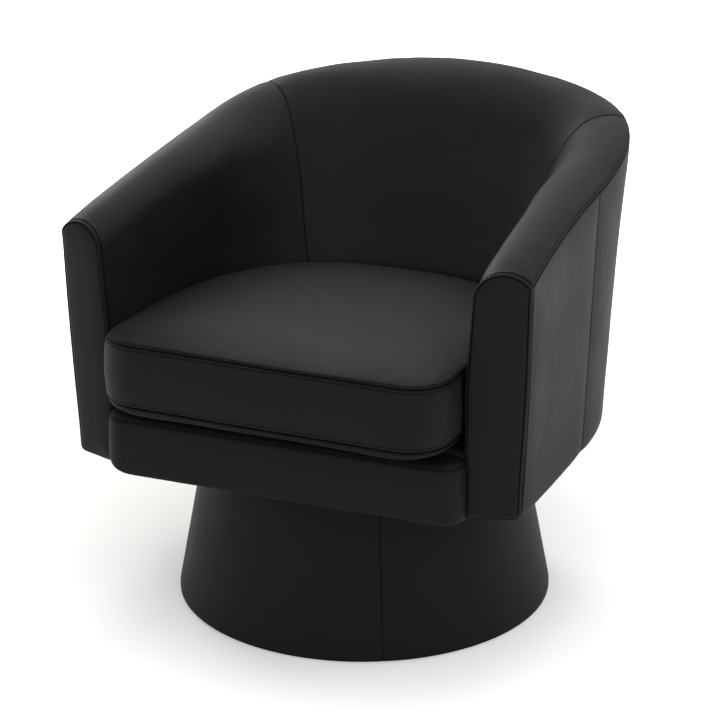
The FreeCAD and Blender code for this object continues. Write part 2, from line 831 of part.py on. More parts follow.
def dome(seam_z, height, reach, reach_shares, skin):
    """Rounded cap over a seam, with the section of a quarter ellipse, less a skin."""
    wires = []
    for share in reach_shares:
        rise = math.sqrt(1.0 - (1.0 - share) ** 2)
        wires.append(cushion_outline(reach * share + skin, seam_z + height * rise))
    return Part.makeLoft(wires, True, False)


def cushion_crown(skin):
    """Domed top of the cushion above its upper seam, less a skin."""
    height = cushion_crown_z - skin - cushion_high_seam_z
    return dome(cushion_high_seam_z, height, crown_reach, crown_reach_shares, skin)


def cushion_belly(skin):
    """Rounded underside of the cushion below its lower seam, less a skin."""
    height = cushion_floor_z + skin - cushion_low_seam_z
    return dome(cushion_low_seam_z, height, belly_reach, belly_reach_shares, skin)


def cushion_border(skin):
    """Bulged sides of the cushion between its two seams, less a skin."""
    middle_z = (cushion_low_seam_z + cushion_high_seam_z) / 2
    wires = [
        cushion_outline(skin, cushion_low_seam_z),
        cushion_outline(skin - border_bulge, middle_z),
        cushion_outline(skin, cushion_high_seam_z),
    ]
    return Part.makeLoft(wires, True, False)


def cushion_core():
    """Foam of the cushion."""
    core = cushion_border(leather + fit).fuse(cushion_crown(leather + fit))
    return pitched(core.fuse(cushion_belly(leather + fit)).removeSplitter())


def cushion_top_panel():
    """Leather on the top of the cushion."""
    return pitched(cushion_crown(0.0).cut(cushion_crown(leather)))


def cushion_border_panel():
    """Leather round the sides of the cushion."""
    return pitched(cushion_border(0.0).cut(cushion_border(leather)))


def cushion_bottom_panel():
    """Leather on the underside of the cushion."""
    return pitched(cushion_belly(0.0).cut(cushion_belly(leather)))


def base_nodes():
    """Nodes that stand still."""
    return {
        "base_glides": base_glides(),
        "base_floor_ring": base_floor_ring(),
        "base_uprights": base_uprights(),
        "base_top_disc": base_top_disc(),
        "base_former": base_former(),
        "base_cover_front": base_cover(0),
        "base_cover_back": base_cover(1),
        "swivel_lower_plate": swivel_plate(base_top_z, rivet_radius, screw_radius),
        "swivel_rivet": swivel_rivet(),
        "lower_plate_screws": lower_plate_screws(),
    }


def bearing_nodes():
    """Nodes that roll between the two plates."""
    return {
        "swivel_balls": swivel_balls(),
        "swivel_cage": swivel_cage(),
    }


def tub_nodes():
    """Nodes that turn with the seat."""
    nodes = {
        "swivel_upper_plate": swivel_plate(
            tub_floor_z - plate_thickness, rivet_radius + race_clearance, bolt_radius
        ),
        "upper_plate_bolts": upper_plate_bolts(),
        "tee_nuts": tee_nuts(),
        "tub_floor_board": tub_floor_board(),
        "dust_cover": dust_cover(),
        "front_rail": front_rail(),
        "front_rail_pad": front_rail_pad(),
        "front_rail_cover": front_rail_cover(),
        "seat_frame": seat_frame(),
        "seat_frame_blocks": seat_frame_blocks(),
        "long_webbing": seat_webbing(0),
        "cross_webbing": seat_webbing(1),
        "deck_felt": deck_felt(),
        "deck_cloth": deck_cloth(),
        "back_shell": back_loft(side_seam_share, frame_outline),
        "back_pad": back_loft(inside_seam_share, pad_outline),
        "inside_back_cover": back_loft(inside_seam_share, inside_cover_outline),
        "outside_back_cover": back_loft(side_seam_share, outside_cover_outline),
    }
    for name, side in (("left", 1), ("right", -1)):
        nodes[name + "_arm_frame"] = arm_loft(side, 0.0, side_seam_share, frame_outline)
        nodes[name + "_arm_pad"] = arm_loft(side, 0.0, inside_seam_share, pad_outline)
        nodes["inside_" + name + "_cover"] = arm_loft(side, 0.0, inside_seam_share, inside_cover_outline)
        nodes["outside_" + name + "_cover"] = arm_loft(side, 0.0, side_seam_share, outside_cover_outline)
        nodes[name + "_arm_front"] = arm_front(side)
    return nodes


def cushion_nodes():
    """Nodes that lift out with the loose cushion."""
    return {
        "cushion_core": cushion_core(),
        "cushion_top_panel": cushion_top_panel(),
        "cushion_border_panel": cushion_border_panel(),
        "cushion_bottom_panel": cushion_bottom_panel(),
    }


def main():
    """Write one file for each node."""
    for make in (base_nodes, bearing_nodes, tub_nodes, cushion_nodes):
        for name, shape in make().items():
            solids = shape.Solids
            print(name, len(solids), "solids", shape.isValid(), round(shape.Volume))
            shape.exportStep("parts/" + name + ".step")


main()
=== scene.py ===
"""Looks of a swivel barrel chair in black leather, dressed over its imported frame.

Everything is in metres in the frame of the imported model: +Z up, the swivel axis at the origin and the
seat facing -Y. The sitter's left arm is on the +X side. A place round the tub is its travel: 0 at the
front of the left arm, 1 at the middle of the back and 2 at the front of the right arm.
"""

import json
import logging
import math
from bisect import bisect_left
from dataclasses import dataclass, field
from enum import Enum
from typing import Any, Callable, Iterable, Sequence

import bmesh
import bpy
import numpy as np
from mathutils import Matrix, Vector
from mathutils.bvhtree import BVHTree
from mathutils.noise import noise


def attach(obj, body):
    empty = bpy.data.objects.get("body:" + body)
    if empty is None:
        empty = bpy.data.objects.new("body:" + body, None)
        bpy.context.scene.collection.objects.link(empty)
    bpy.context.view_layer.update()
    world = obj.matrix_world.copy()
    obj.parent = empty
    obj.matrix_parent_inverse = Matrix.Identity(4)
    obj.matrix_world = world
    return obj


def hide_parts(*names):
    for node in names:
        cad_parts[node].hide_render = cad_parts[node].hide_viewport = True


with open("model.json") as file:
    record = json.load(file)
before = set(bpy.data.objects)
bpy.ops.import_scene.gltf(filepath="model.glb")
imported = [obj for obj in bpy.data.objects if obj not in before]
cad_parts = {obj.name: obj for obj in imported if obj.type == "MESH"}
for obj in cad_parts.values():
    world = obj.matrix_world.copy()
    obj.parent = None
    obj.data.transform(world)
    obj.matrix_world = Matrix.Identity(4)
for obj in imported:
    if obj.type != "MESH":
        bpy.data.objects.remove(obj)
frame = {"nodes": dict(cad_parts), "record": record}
log = logging.getLogger("chair")

Table = tuple[tuple[float, float], ...]
Line = list[tuple[float, float]]
Place = Callable[[float, float], Vector]

ARC_STEPS = 24
RIM_STEPS = 160
TRACE_STEPS = 200
TINY = 1e-6
MERGE_DISTANCE = 0.00002
LEATHER_THICKNESS = 0.0015
# painted shade along seams and topstitching: each vertex holds how much it is darkened and dulled as if in
# the shadow of a crease
SEAM_SHADE_LAYER = "seam_painted_shade"
SEAM_SHADE_WIDTH = 0.0013
SEAT_PITCH_DEGREES = 3.0
SEAT_PIVOT = Vector((0.0, -0.282, 0.345))


class Body(Enum):
    """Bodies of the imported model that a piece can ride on."""

    BASE = "base"
    TUB = "tub"
    CUSHION = "seat_cushion"


class Slot(Enum):
    """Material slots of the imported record."""

    LEATHER = "black_leather"
    FOAM = "seat_foam"
    PLYWOOD = "plywood"
    HARDWOOD = "hardwood"
    BENT_BOARD = "bent_board"
    ZINC = "zinc_steel"
    BALLS = "ball_steel"
    CAGE = "cage_plastic"
    GLIDES = "glide_plastic"
    WEBBING = "webbing"
    FELT = "felt"
    CLOTH = "black_cloth"


def eased(table: Table, share: float) -> float:
    """Read a table of (share, value) pairs with an eased step between its entries.

    Args:
        table: Pairs in rising order of share.
        share: Where to read it.

    Returns:
        The value there.
    """
    for (low, first), (high, last) in zip(table, table[1:]):
        if share <= high:
            part = max(0.0, min(1.0, (share - low) / (high - low)))
            return first + (last - first) * part * part * (3.0 - 2.0 * part)
    return table[-1][1]


def bell(distance: float, width: float) -> float:
    """Smooth bump that is 1 at no distance and nearly 0 past twice the width."""
    return math.exp(-((distance / width) ** 2))


def graded(length: float, fine: float, coarse: float, growth: float = 1.28) -> list[float]:
    """Stops whose steps grow from both ends of a length towards its middle.

    Args:
        length: Length to divide, in metres.
        fine: First and last step.
        coarse: Largest step.
        growth: Ratio of one step to the one before it.

    Returns:
        Shares of the length, from 0 to 1.
    """
    stops = [0.0]
    step = fine
    while stops[-1] + step < length / 2:
        stops.append(stops[-1] + step)
        step = min(step * growth, coarse)
    scale = 0.5 / (stops[-1] + step / 2)
    half = [stop * scale for stop in stops]
    return half + [1.0 - stop for stop in reversed(half)]


@dataclass(frozen=True)
class TubSizes:
    """Plan and section of the tub, as its frame has them."""

    floor_z: float = 0.261
    arm_front_y: float = -0.259
    rim: tuple[float, ...] = (0.350, 0.342, 0.006, 0.432, 3.26)
    hem: tuple[float, ...] = (0.3365, 0.344, 0.0, 0.315, 2.5)
    well: tuple[float, ...] = (0.266, 0.266, -0.200, 0.175, 2.6)
    well_line_z: float = 0.445
    inside_cover_floor_z: float = 0.280
    apex_front_z: float = 0.6167
    apex_rise: float = 0.0975
    apex_rise_shares: tuple[float, ...] = (2.015, -2.947, 0.513, 4.992, -3.526)
    crown_in: Table = ((0.0, 0.037), (0.35, 0.043), (0.62, 0.024), (1.0, 0.030))
    crown_drop: Table = ((0.0, 0.0205), (0.35, 0.018), (0.62, 0.009), (1.0, 0.007))
    shoulder: Table = ((0.0, 0.037), (0.2, 0.038), (0.35, 0.052), (0.62, 0.112), (1.0, 0.105))
    lean: Table = ((0.0, -0.027), (0.335, 0.16), (0.7, 0.0), (1.0, 0.0))
    hem_turn: Table = ((0.0, 0.008), (0.335, 0.012), (0.62, 0.013), (1.0, 0.014))
    arm_front_lead: float = 0.030
    lead_end_share: float = 0.18
    turn_start_share: float = 0.3
    turn_ease_share: float = 1.15
    side_seam_share: float = 0.335


def side_half_width(sizes: TubSizes, plan: Sequence[float], y: float) -> float:
    """Half width of a nearly straight side that eases from its front to its rear width."""
    part = (y - sizes.arm_front_y) / (plan[2] - sizes.arm_front_y)
    return plan[0] + (plan[1] - plan[0]) * (1.0 - (1.0 - part) ** 2)


def is_outside(sizes: TubSizes, plan: Sequence[float], x: float, y: float) -> bool:
    """Tell whether a plan point lies outside a plan with straight sides and a squared round back."""
    if y <= plan[2]:
        return abs(x) > side_half_width(sizes, plan, y)
    across = abs(x) / plan[1]
    along = (y - plan[2]) / (plan[3] - plan[2])
    return across ** plan[4] + along ** plan[4] > 1.0


def travelled_along(points: Sequence[Sequence[float]]) -> list[float]:
    """Distances along a line of points, from its first one to each of them."""
    total = [0.0]
    for before, after in zip(points, points[1:]):
        total.append(total[-1] + math.dist(before, after))
    return total


def rim_line(sizes: TubSizes) -> Line:
    """Plan points of the outer top seam from an arm front to the middle of the back."""
    points = []
    _, rear, end_y, back_y, squareness = sizes.rim
    for step in range(RIM_STEPS):
        y = sizes.arm_front_y + (end_y - sizes.arm_front_y) * step / RIM_STEPS
        points.append((side_half_width(sizes, sizes.rim, y), y))
    for step in range(RIM_STEPS + 1):
        part = step / RIM_STEPS
        angle = (part if part < 0.5 else 1.0 - 2.0 * (1.0 - part) ** 2) * math.pi / 2
        across = rear * max(0.0, math.cos(angle)) ** (2.0 / squareness)
        points.append((across, end_y + (back_y - end_y) * math.sin(angle) ** (2.0 / squareness)))
    return points


def arc_points(centre: tuple[float, float], radius: float, first: float, last: float) -> Line:
    """Points along an arc, both ends included."""
    angles = [first + (last - first) * step / ARC_STEPS for step in range(ARC_STEPS + 1)]
    return [(centre[0] + radius * math.cos(a), centre[1] + radius * math.sin(a)) for a in angles]


def even_points(points: Sequence[Sequence[float]], count: int) -> np.ndarray:
    """Points spaced evenly along a line of points.

    Args:
        points: The line.
        count: How many steps to divide it in.

    Returns:
        count + 1 points, one a row.
    """
    travelled = travelled_along(points)
    wanted = np.linspace(0.0, travelled[-1], count + 1)
    return np.stack([np.interp(wanted, travelled, axis) for axis in np.array(points).T], 1)


class WallCut:
    """One upright cut through the left half of the tub wall, measured inward from the outer seam."""

    HALVINGS = 36

    def __init__(self, sizes: TubSizes, share: float, rim_x: float, rim_y: float) -> None:
        """Work out the cut's section.

        Args:
            sizes: Sizes of the tub.
            share: Share of the way from the arm front to the middle of the back.
            rim_x: Plan place of the outer seam there.
            rim_y: Plan place of the outer seam there.
        """
        self.sizes = sizes
        self.x = rim_x
        self.y = rim_y
        turn = max(0.0, (share - sizes.turn_start_share) / (1.0 - sizes.turn_start_share))
        ease = sizes.turn_ease_share
        angle = math.radians(90.0 * turn * (ease - (ease - 1.0) * turn))
        self.inward_x = -math.cos(angle)
        lead = max(0.0, 1.0 - share / sizes.lead_end_share) ** 2
        self.inward_y = -math.sin(angle) - lead * sizes.arm_front_lead / (sizes.rim[0] - sizes.well[0])
        self.lean = eased(sizes.lean, share)
        self.apex_in = eased(sizes.crown_in, share)
        rise = sum(part * share ** (power + 1) for power, part in enumerate(sizes.apex_rise_shares))
        self.apex_z = sizes.apex_front_z + sizes.apex_rise * rise
        self.drop = eased(sizes.crown_drop, share)
        self.seam_z = self.apex_z - self.drop
        self.shoulder = eased(sizes.shoulder, share)
        self.hem_in = self.distance_to(sizes.hem, sizes.floor_z)
        self.well_in = self.distance_to(sizes.well, sizes.well_line_z)
        self.foot_in = self.distance_to(sizes.well, sizes.floor_z)
        self.rake = math.atan2(self.hem_in, self.seam_z - sizes.floor_z)
        self.hem_turn = eased(sizes.hem_turn, share)
        self.hem_flat = self.hem_turn * math.tan((math.pi / 2 - self.rake) / 2)
        self.brow = (self.apex_in ** 2 + self.drop ** 2) / (2.0 * self.drop)
        reach = self.well_in - self.apex_in
        fall = sizes.well_line_z - (self.apex_z - self.shoulder)
        self.slope = math.atan2(fall, reach) + math.acos(self.shoulder / math.hypot(reach, fall))

    def place(self, inward: float, z: float) -> tuple[float, float, float]:
        """Point in space at a distance inward and a height."""
        x = self.x + self.inward_x * inward
        y = self.y + self.inward_y * inward + self.lean * (z - self.seam_z)
        return x, y, z

    def distance_to(self, plan: Sequence[float], z: float) -> float:
        """Distance inward at which the cut meets a plan at a height."""
        low = -self.sizes.well[0] / 2
        high = self.sizes.rim[1] + self.sizes.rim[3]
        for _ in range(self.HALVINGS):
            middle = (low + high) / 2
            x, y, _ = self.place(middle, z)
            if x < 0.0 or not is_outside(self.sizes, plan, x, y):
                high = middle
            else:
                low = middle
        return (low + high) / 2

    def outer_line(self) -> Line:
        """Distances inward and heights from the outer seam down and round the lower edge."""
        line = [(0.0, self.seam_z)]
        centre = (self.hem_in + self.hem_flat, self.sizes.floor_z + self.hem_turn)
        line += arc_points(centre, self.hem_turn, math.pi + self.rake, math.pi * 3 / 2)
        line.append((centre[0] + self.hem_turn, self.sizes.floor_z))
        return line

    def inner_line(self) -> Line:
        """Distances inward and heights from the outer seam over the rounded top and down the inside."""
        half = math.asin(self.apex_in / self.brow)
        brow = (self.apex_in, self.apex_z - self.brow)
        line = arc_points(brow, self.brow, math.pi / 2 + half, math.pi / 2)
        shoulder = (self.apex_in, self.apex_z - self.shoulder)
        line += arc_points(shoulder, self.shoulder, math.pi / 2, self.slope)
        line.append((self.well_in, self.sizes.well_line_z))
        foot_z = self.sizes.inside_cover_floor_z
        part = (self.sizes.well_line_z - foot_z) / (self.sizes.well_line_z - self.sizes.floor_z)
        line.append((self.well_in + (self.foot_in - self.well_in) * part, foot_z))
        return line

    def path(self, line: Sequence[tuple[float, float]], count: int) -> np.ndarray:
        """Evenly spaced points in space along a line of the section."""
        return even_points([self.place(*point) for point in line], count)


class TubWall:
    """Both faces of the tub wall as tables that are read at any travel and share of the way down."""

    CUTS = 220
    SAMPLES = 240

    def __init__(self, sizes: TubSizes) -> None:
        """Cut the wall all along one side.

        Args:
            sizes: Sizes of the tub.
        """
        self.sizes = sizes
        points = rim_line(sizes)
        distances = travelled_along(points)
        self.rim_length = distances[-1]
        self.cuts = []
        for step in range(self.CUTS + 1):
            wanted = self.rim_length * step / self.CUTS
            x, y = (float(np.interp(wanted, distances, axis)) for axis in np.array(points).T)
            self.cuts.append(WallCut(sizes, step / self.CUTS, x, y))
        self.inner = np.array([cut.path(cut.inner_line(), self.SAMPLES) for cut in self.cuts])
        self.inner_length = float(np.linalg.norm(np.diff(self.inner, axis=1), axis=2).sum(1).mean())
        self.outer = np.array([cut.path(cut.outer_line(), self.SAMPLES) for cut in self.cuts])

    def read(self, table: np.ndarray, travel: float, down: float) -> Vector:
        """Point of a face.

        Args:
            table: The inner or the outer face.
            travel: Place round the tub, from 0 to 2.
            down: Share of the way down from the outer seam.

        Returns:
            The point there.
        """
        share = travel if travel <= 1.0 else 2.0 - travel
        row = min(self.CUTS - TINY, max(0.0, share * self.CUTS))
        column = min(self.SAMPLES - TINY, max(0.0, down * self.SAMPLES))
        i, j = int(row), int(column)
        a, b = row - i, column - j
        low = table[i, j] * (1 - b) + table[i, j + 1] * b
        high = table[i + 1, j] * (1 - b) + table[i + 1, j + 1] * b
        x, y, z = low * (1 - a) + high * a
        return Vector((x if travel <= 1.0 else -x, y, z))

    def inner_at(self, travel: float, down: float) -> Vector:
        """Point of the inner face, over the rounded top and down to the seat."""
        return self.read(self.inner, travel, down)

    def outer_at(self, travel: float, down: float) -> Vector:
        """Point of the outer face, from the seam down to the underside."""
        return self.read(self.outer, travel, down)


@dataclass
class EdgeDistances:
    """How far a point of a sheet is from its four edges, along the sheet."""

    start: float
    end: float
    top: float
    bottom: float


Relief = Callable[[Vector, EdgeDistances], float]


class Sheet:
    """A sheet of leather or cloth grown from a flat grid whose points are put in place one by one."""

    STITCH_WIDTH = 0.0011
    STITCH_DEPTH = 0.0003
    STITCH_SHADE = 0.5
    # a flat sheet is cut a hundredth longer than its form measures on average
    CUTTING_SHARE = 1.01

    def __init__(
        self, name: str, across: Sequence[float], down: Sequence[float], place: Place, seen_from: Vector
    ) -> None:
        """Grow the sheet.

        Args:
            name: Name of the piece.
            across: Stops along the sheet, from 0 to 1.
            down: Stops down the sheet, from 0 to 1.
            place: Gives the point in space of a stop across and a stop down.
            seen_from: A point that the right side of the sheet faces.
        """
        self.name = name
        self.columns = len(across)
        self.rows = len(down)
        self.mesh = bmesh.new()
        bmesh.ops.create_grid(self.mesh, x_segments=self.columns - 1, y_segments=self.rows - 1, size=1.0)
        self.mesh.verts.ensure_lookup_table()
        for row, v in enumerate(down):
            for column, u in enumerate(across):
                self.point(column, row).co = place(u, v)
        self.turn_towards(seen_from)
        # painted seam shade: how much each vertex is darkened and its highlight taken away, as if in the
        # shadow of a seam's crease
        self.seam = self.mesh.verts.layers.float.new(SEAM_SHADE_LAYER)

    def turn_towards(self, eye: Vector) -> None:
        """Turn the right side of the sheet to a point."""
        self.mesh.normal_update()
        facing = 0.0
        for face in self.mesh.faces:
            facing += face.normal.dot(eye - face.calc_center_median()) * face.calc_area()
        if facing < 0.0:
            bmesh.ops.reverse_faces(self.mesh, faces=self.mesh.faces[:])

    def point(self, column: int, row: int) -> bmesh.types.BMVert:
        """Vertex at a column and a row."""
        return self.mesh.verts[row * self.columns + column]

    def edge_distances(self) -> list[EdgeDistances]:
        """Distances of every vertex from the four edges, in vertex order."""
        columns, rows = range(self.columns), range(self.rows)
        across = [travelled_along([self.point(column, row).co for column in columns]) for row in rows]
        down = [travelled_along([self.point(column, row).co for row in rows]) for column in columns]
        distances = []
        for row in rows:
            for column in columns:
                u, v = across[row], down[column]
                distances.append(EdgeDistances(u[column], u[-1] - u[column], v[row], v[-1] - v[row]))
        return distances

    def raise_by(self, relief: Relief) -> None:
        """Move every vertex along its normal by what the relief gives there."""
        distances = self.edge_distances()
        self.mesh.normal_update()
        normals = [vertex.normal.copy() for vertex in self.mesh.verts]
        moves = [relief(vertex.co, distances[vertex.index]) for vertex in self.mesh.verts]
        for vertex, normal, move in zip(self.mesh.verts, normals, moves):
            vertex.co += normal * move

    def mark_seams(self, near: Callable[[EdgeDistances], float], width: float = SEAM_SHADE_WIDTH) -> None:
        """Write down how close each vertex is to a seam, as painted shade where the leather creases into it.
        """
        distances = self.edge_distances()
        for vertex in self.mesh.verts:
            vertex[self.seam] = bell(near(distances[vertex.index]), width)

    def sink_and_shade_stitching(self, near: Callable[[EdgeDistances], float]) -> None:
        """Paint a fainter line of shade where a row of topstitching pulls the leather in, and sink the
        leather there a little.
        """
        distances = self.edge_distances()
        self.mesh.normal_update()
        for vertex in self.mesh.verts:
            pull = bell(near(distances[vertex.index]), self.STITCH_WIDTH)
            vertex[self.seam] = max(vertex[self.seam], self.STITCH_SHADE * pull)
            vertex.co -= vertex.normal * self.STITCH_DEPTH * pull

    def merge(self) -> None:
        """Join the vertices that lie on one another, where the sheet meets itself."""
        bmesh.ops.remove_doubles(self.mesh, verts=self.mesh.verts[:], dist=MERGE_DISTANCE)

    def area(self) -> float:
        """Area of the sheet's right side."""
        return sum(face.calc_area() for face in self.mesh.faces)

    def flat_size(self) -> tuple[float, float, float]:
        """Width, length and area of the leather before it was pulled over its form."""
        distances = self.edge_distances()
        width = max(edge.start + edge.end for edge in distances)
        length = max(edge.top + edge.bottom for edge in distances)
        area = self.area()
        return width, max(area / width * self.CUTTING_SHARE, length), area

    def finish(self, thickness: float, levels: int = 1) -> bpy.types.Object:
        """Turn the sheet into an object with a thickness.

        Args:
            thickness: Thickness of the material, laid behind its right side.
            levels: Levels of subdivision.

        Returns:
            The object.
        """
        thing = object_from(self.name, self.mesh)
        thicken(thing, thickness)
        smooth_over(thing, levels)
        return thing


def put_in_scene(name: str, data: bpy.types.ID) -> bpy.types.Object:
    """Make an object of a mesh, a lamp or a camera and put it in the scene."""
    thing = bpy.data.objects.new(name, data)
    bpy.context.scene.collection.objects.link(thing)
    return thing


def object_from(name: str, mesh: bmesh.types.BMesh) -> bpy.types.Object:
    """Make a smooth-shaded object of a bmesh and free it."""
    data = bpy.data.meshes.new(name)
    mesh.to_mesh(data)
    mesh.free()
    data.polygons.foreach_set("use_smooth", [True] * len(data.polygons))
    return put_in_scene(name, data)


def thicken(thing: bpy.types.Object, thickness: float) -> None:
    """Give a sheet its thickness, behind its right side."""
    wall = thing.modifiers.new("thickness", "SOLIDIFY")
    wall.thickness = thickness
    wall.offset = -1.0


def smooth_over(thing: bpy.types.Object, levels: int) -> None:
    """Add a subdivision surface to a piece."""
    if levels > 0:
        surface = thing.modifiers.new("smooth", "SUBSURF")
        surface.levels = levels
        surface.render_levels = levels


def surface_of(thing: bpy.types.Object) -> BVHTree:
    """Search tree of the right side of a piece."""
    points = [vertex.co for vertex in thing.data.vertices]
    return BVHTree.FromPolygons(points, [face.vertices[:] for face in thing.data.polygons])


def linear(colour: str) -> tuple[float, float, float, float]:
    """Turn an sRGB hex colour to linear RGBA."""
    parts = [int(colour[index:index + 2], 16) / 255 for index in (1, 3, 5)]
    lit = [part / 12.92 if part <= 0.04045 else ((part + 0.055) / 1.055) ** 2.4 for part in parts]
    return lit[0], lit[1], lit[2], 1.0


def add_node(
    tree: bpy.types.NodeTree,
    kind: str,
    settings: dict[Any, Any] | None = None,
    links: dict[Any, bpy.types.NodeSocket] | None = None,
) -> bpy.types.Node:
    """Add a node with its settings and links.

    Args:
        tree: Node tree to add it to.
        kind: Blender's name of the node.
        settings: Values of its inputs, by name or number, or of its own properties.
        links: Sockets to join to its inputs.

    Returns:
        The node.
    """
    node = tree.nodes.new(kind)
    for key, value in (settings or {}).items():
        if isinstance(key, int) or key in node.inputs:
            node.inputs[key].default_value = value
        else:
            setattr(node, key, value)
    for key, socket in (links or {}).items():
        tree.links.new(socket, node.inputs[key])
    return node


def new_material(name: str) -> tuple[bpy.types.Material, bpy.types.NodeTree, bpy.types.NodeSocket]:
    """Start a material whose node tree holds only the place on the object, which it also gives."""
    material = bpy.data.materials.new(name)
    material.use_nodes = True
    tree = material.node_tree
    tree.nodes.clear()
    return material, tree, add_node(tree, "ShaderNodeTexCoord").outputs["Object"]


def close_material(tree: bpy.types.NodeTree, shader: bpy.types.Node) -> None:
    """Join a shader to the material's output."""
    add_node(tree, "ShaderNodeOutputMaterial", links={"Surface": shader.outputs[0]})


@dataclass(frozen=True)
class Leather:
    """Pigmented upholstery leather: a satin face with a fine pebble grain and soft creases, and painted shade
    in the creases of its seams.
    """

    name: str = "leather_pigmented"
    colour: str = "#151514"
    worn_colour: str = "#1c1b1a"
    # near-black painted shade for the creases of the seams
    seam_shade_colour: str = "#020202"
    grain_mm: float = 1.8
    crease_mm: float = 26.0
    patch_mm: float = 90.0
    roughness: float = 0.56
    ior: float = 1.17

    def build(self) -> bpy.types.Material:
        """Make the material.

        Returns:
            The material. Its grain is drawn a little coarser than the real half millimetre, so that
            it still breaks up the highlights in the render.
        """
        material, tree, place = new_material(self.name)
        patches = add_node(
            tree,
            "ShaderNodeTexNoise",
            {"Scale": 1000 / self.patch_mm, "Detail": 3.0, "Roughness": 0.55},
            {"Vector": place},
        )
        tone = add_node(
            tree,
            "ShaderNodeMix",
            {"data_type": "RGBA", 6: linear(self.colour), 7: linear(self.worn_colour)},
            {0: patches.outputs["Fac"]},
        )
        # painted shade: the seam mask darkens the colour towards the seam shade colour
        seam = add_node(tree, "ShaderNodeAttribute", {"attribute_name": SEAM_SHADE_LAYER})
        seam_shade_mix = add_node(
            tree,
            "ShaderNodeMix",
            {"data_type": "RGBA", 7: linear(self.seam_shade_colour)},
            {0: seam.outputs["Fac"], 6: tone.outputs[2]},
        )
        satin = add_node(
            tree,
            "ShaderNodeMapRange",
            {"To Min": self.roughness - 0.07, "To Max": self.roughness + 0.09},
            {"Value": patches.outputs["Fac"]},
        )
        pebbles = add_node(
            tree,
            "ShaderNodeTexVoronoi",
            {"Scale": 1000 / self.grain_mm, "feature": "SMOOTH_F1"},
            {"Vector": place},
        )
        creases = add_node(
            tree,
            "ShaderNodeTexNoise",
            {"Scale": 1000 / self.crease_mm, "Detail": 5.0, "Roughness": 0.62, "Distortion": 0.6},
            {"Vector": place},
        )
        grain = add_node(
            tree,
            "ShaderNodeBump",
            {"Strength": 0.22, "Distance": 0.0004},
            {"Height": pebbles.outputs["Distance"]},
        )
        normal = add_node(
            tree,
            "ShaderNodeBump",
            {"Strength": 0.35, "Distance": 0.0012},
            {"Height": creases.outputs["Fac"], "Normal": grain.outputs[0]},
        )
        # painted shade: the seam mask also takes the highlight out of the creases of the seams
        shine = add_node(
            tree, "ShaderNodeMapRange", {"To Min": 0.5, "To Max": 0.0}, {"Value": seam.outputs["Fac"]}
        )
        shader = add_node(
            tree,
            "ShaderNodeBsdfPrincipled",
            {"IOR": self.ior},
            {
                "Base Color": seam_shade_mix.outputs[2],
                "Roughness": satin.outputs[0],
                "Normal": normal.outputs[0],
                "Specular IOR Level": shine.outputs[0],
            },
        )
        close_material(tree, shader)
        return material


@dataclass(frozen=True)
class Plain:
    """A moulded, spun or foamed material with a fine speckle and an even bump."""

    name: str
    colour: str
    second_colour: str
    speckle_mm: float
    roughness: float
    bump_mm: float = 0.1
    metallic: float = 0.0
    ior: float = 1.5

    def build(self) -> bpy.types.Material:
        """Make the material from its two colours and speckle.

        Returns:
            The material.
        """
        material, tree, place = new_material(self.name)
        speckle = add_node(
            tree,
            "ShaderNodeTexNoise",
            {"Scale": 1000 / self.speckle_mm, "Detail": 4.0, "Roughness": 0.6},
            {"Vector": place},
        )
        tone = add_node(
            tree,
            "ShaderNodeMix",
            {"data_type": "RGBA", 6: linear(self.colour), 7: linear(self.second_colour)},
            {0: speckle.outputs["Fac"]},
        )
        finish = add_node(
            tree,
            "ShaderNodeMapRange",
            {"To Min": self.roughness - 0.06, "To Max": self.roughness + 0.06},
            {"Value": speckle.outputs["Fac"]},
        )
        normal = add_node(
            tree,
            "ShaderNodeBump",
            {"Strength": 0.5, "Distance": self.bump_mm / 1000},
            {"Height": speckle.outputs["Fac"]},
        )
        shader = add_node(
            tree,
            "ShaderNodeBsdfPrincipled",
            {"Metallic": self.metallic, "IOR": self.ior},
            {"Base Color": tone.outputs[2], "Roughness": finish.outputs[0], "Normal": normal.outputs[0]},
        )
        close_material(tree, shader)
        return material


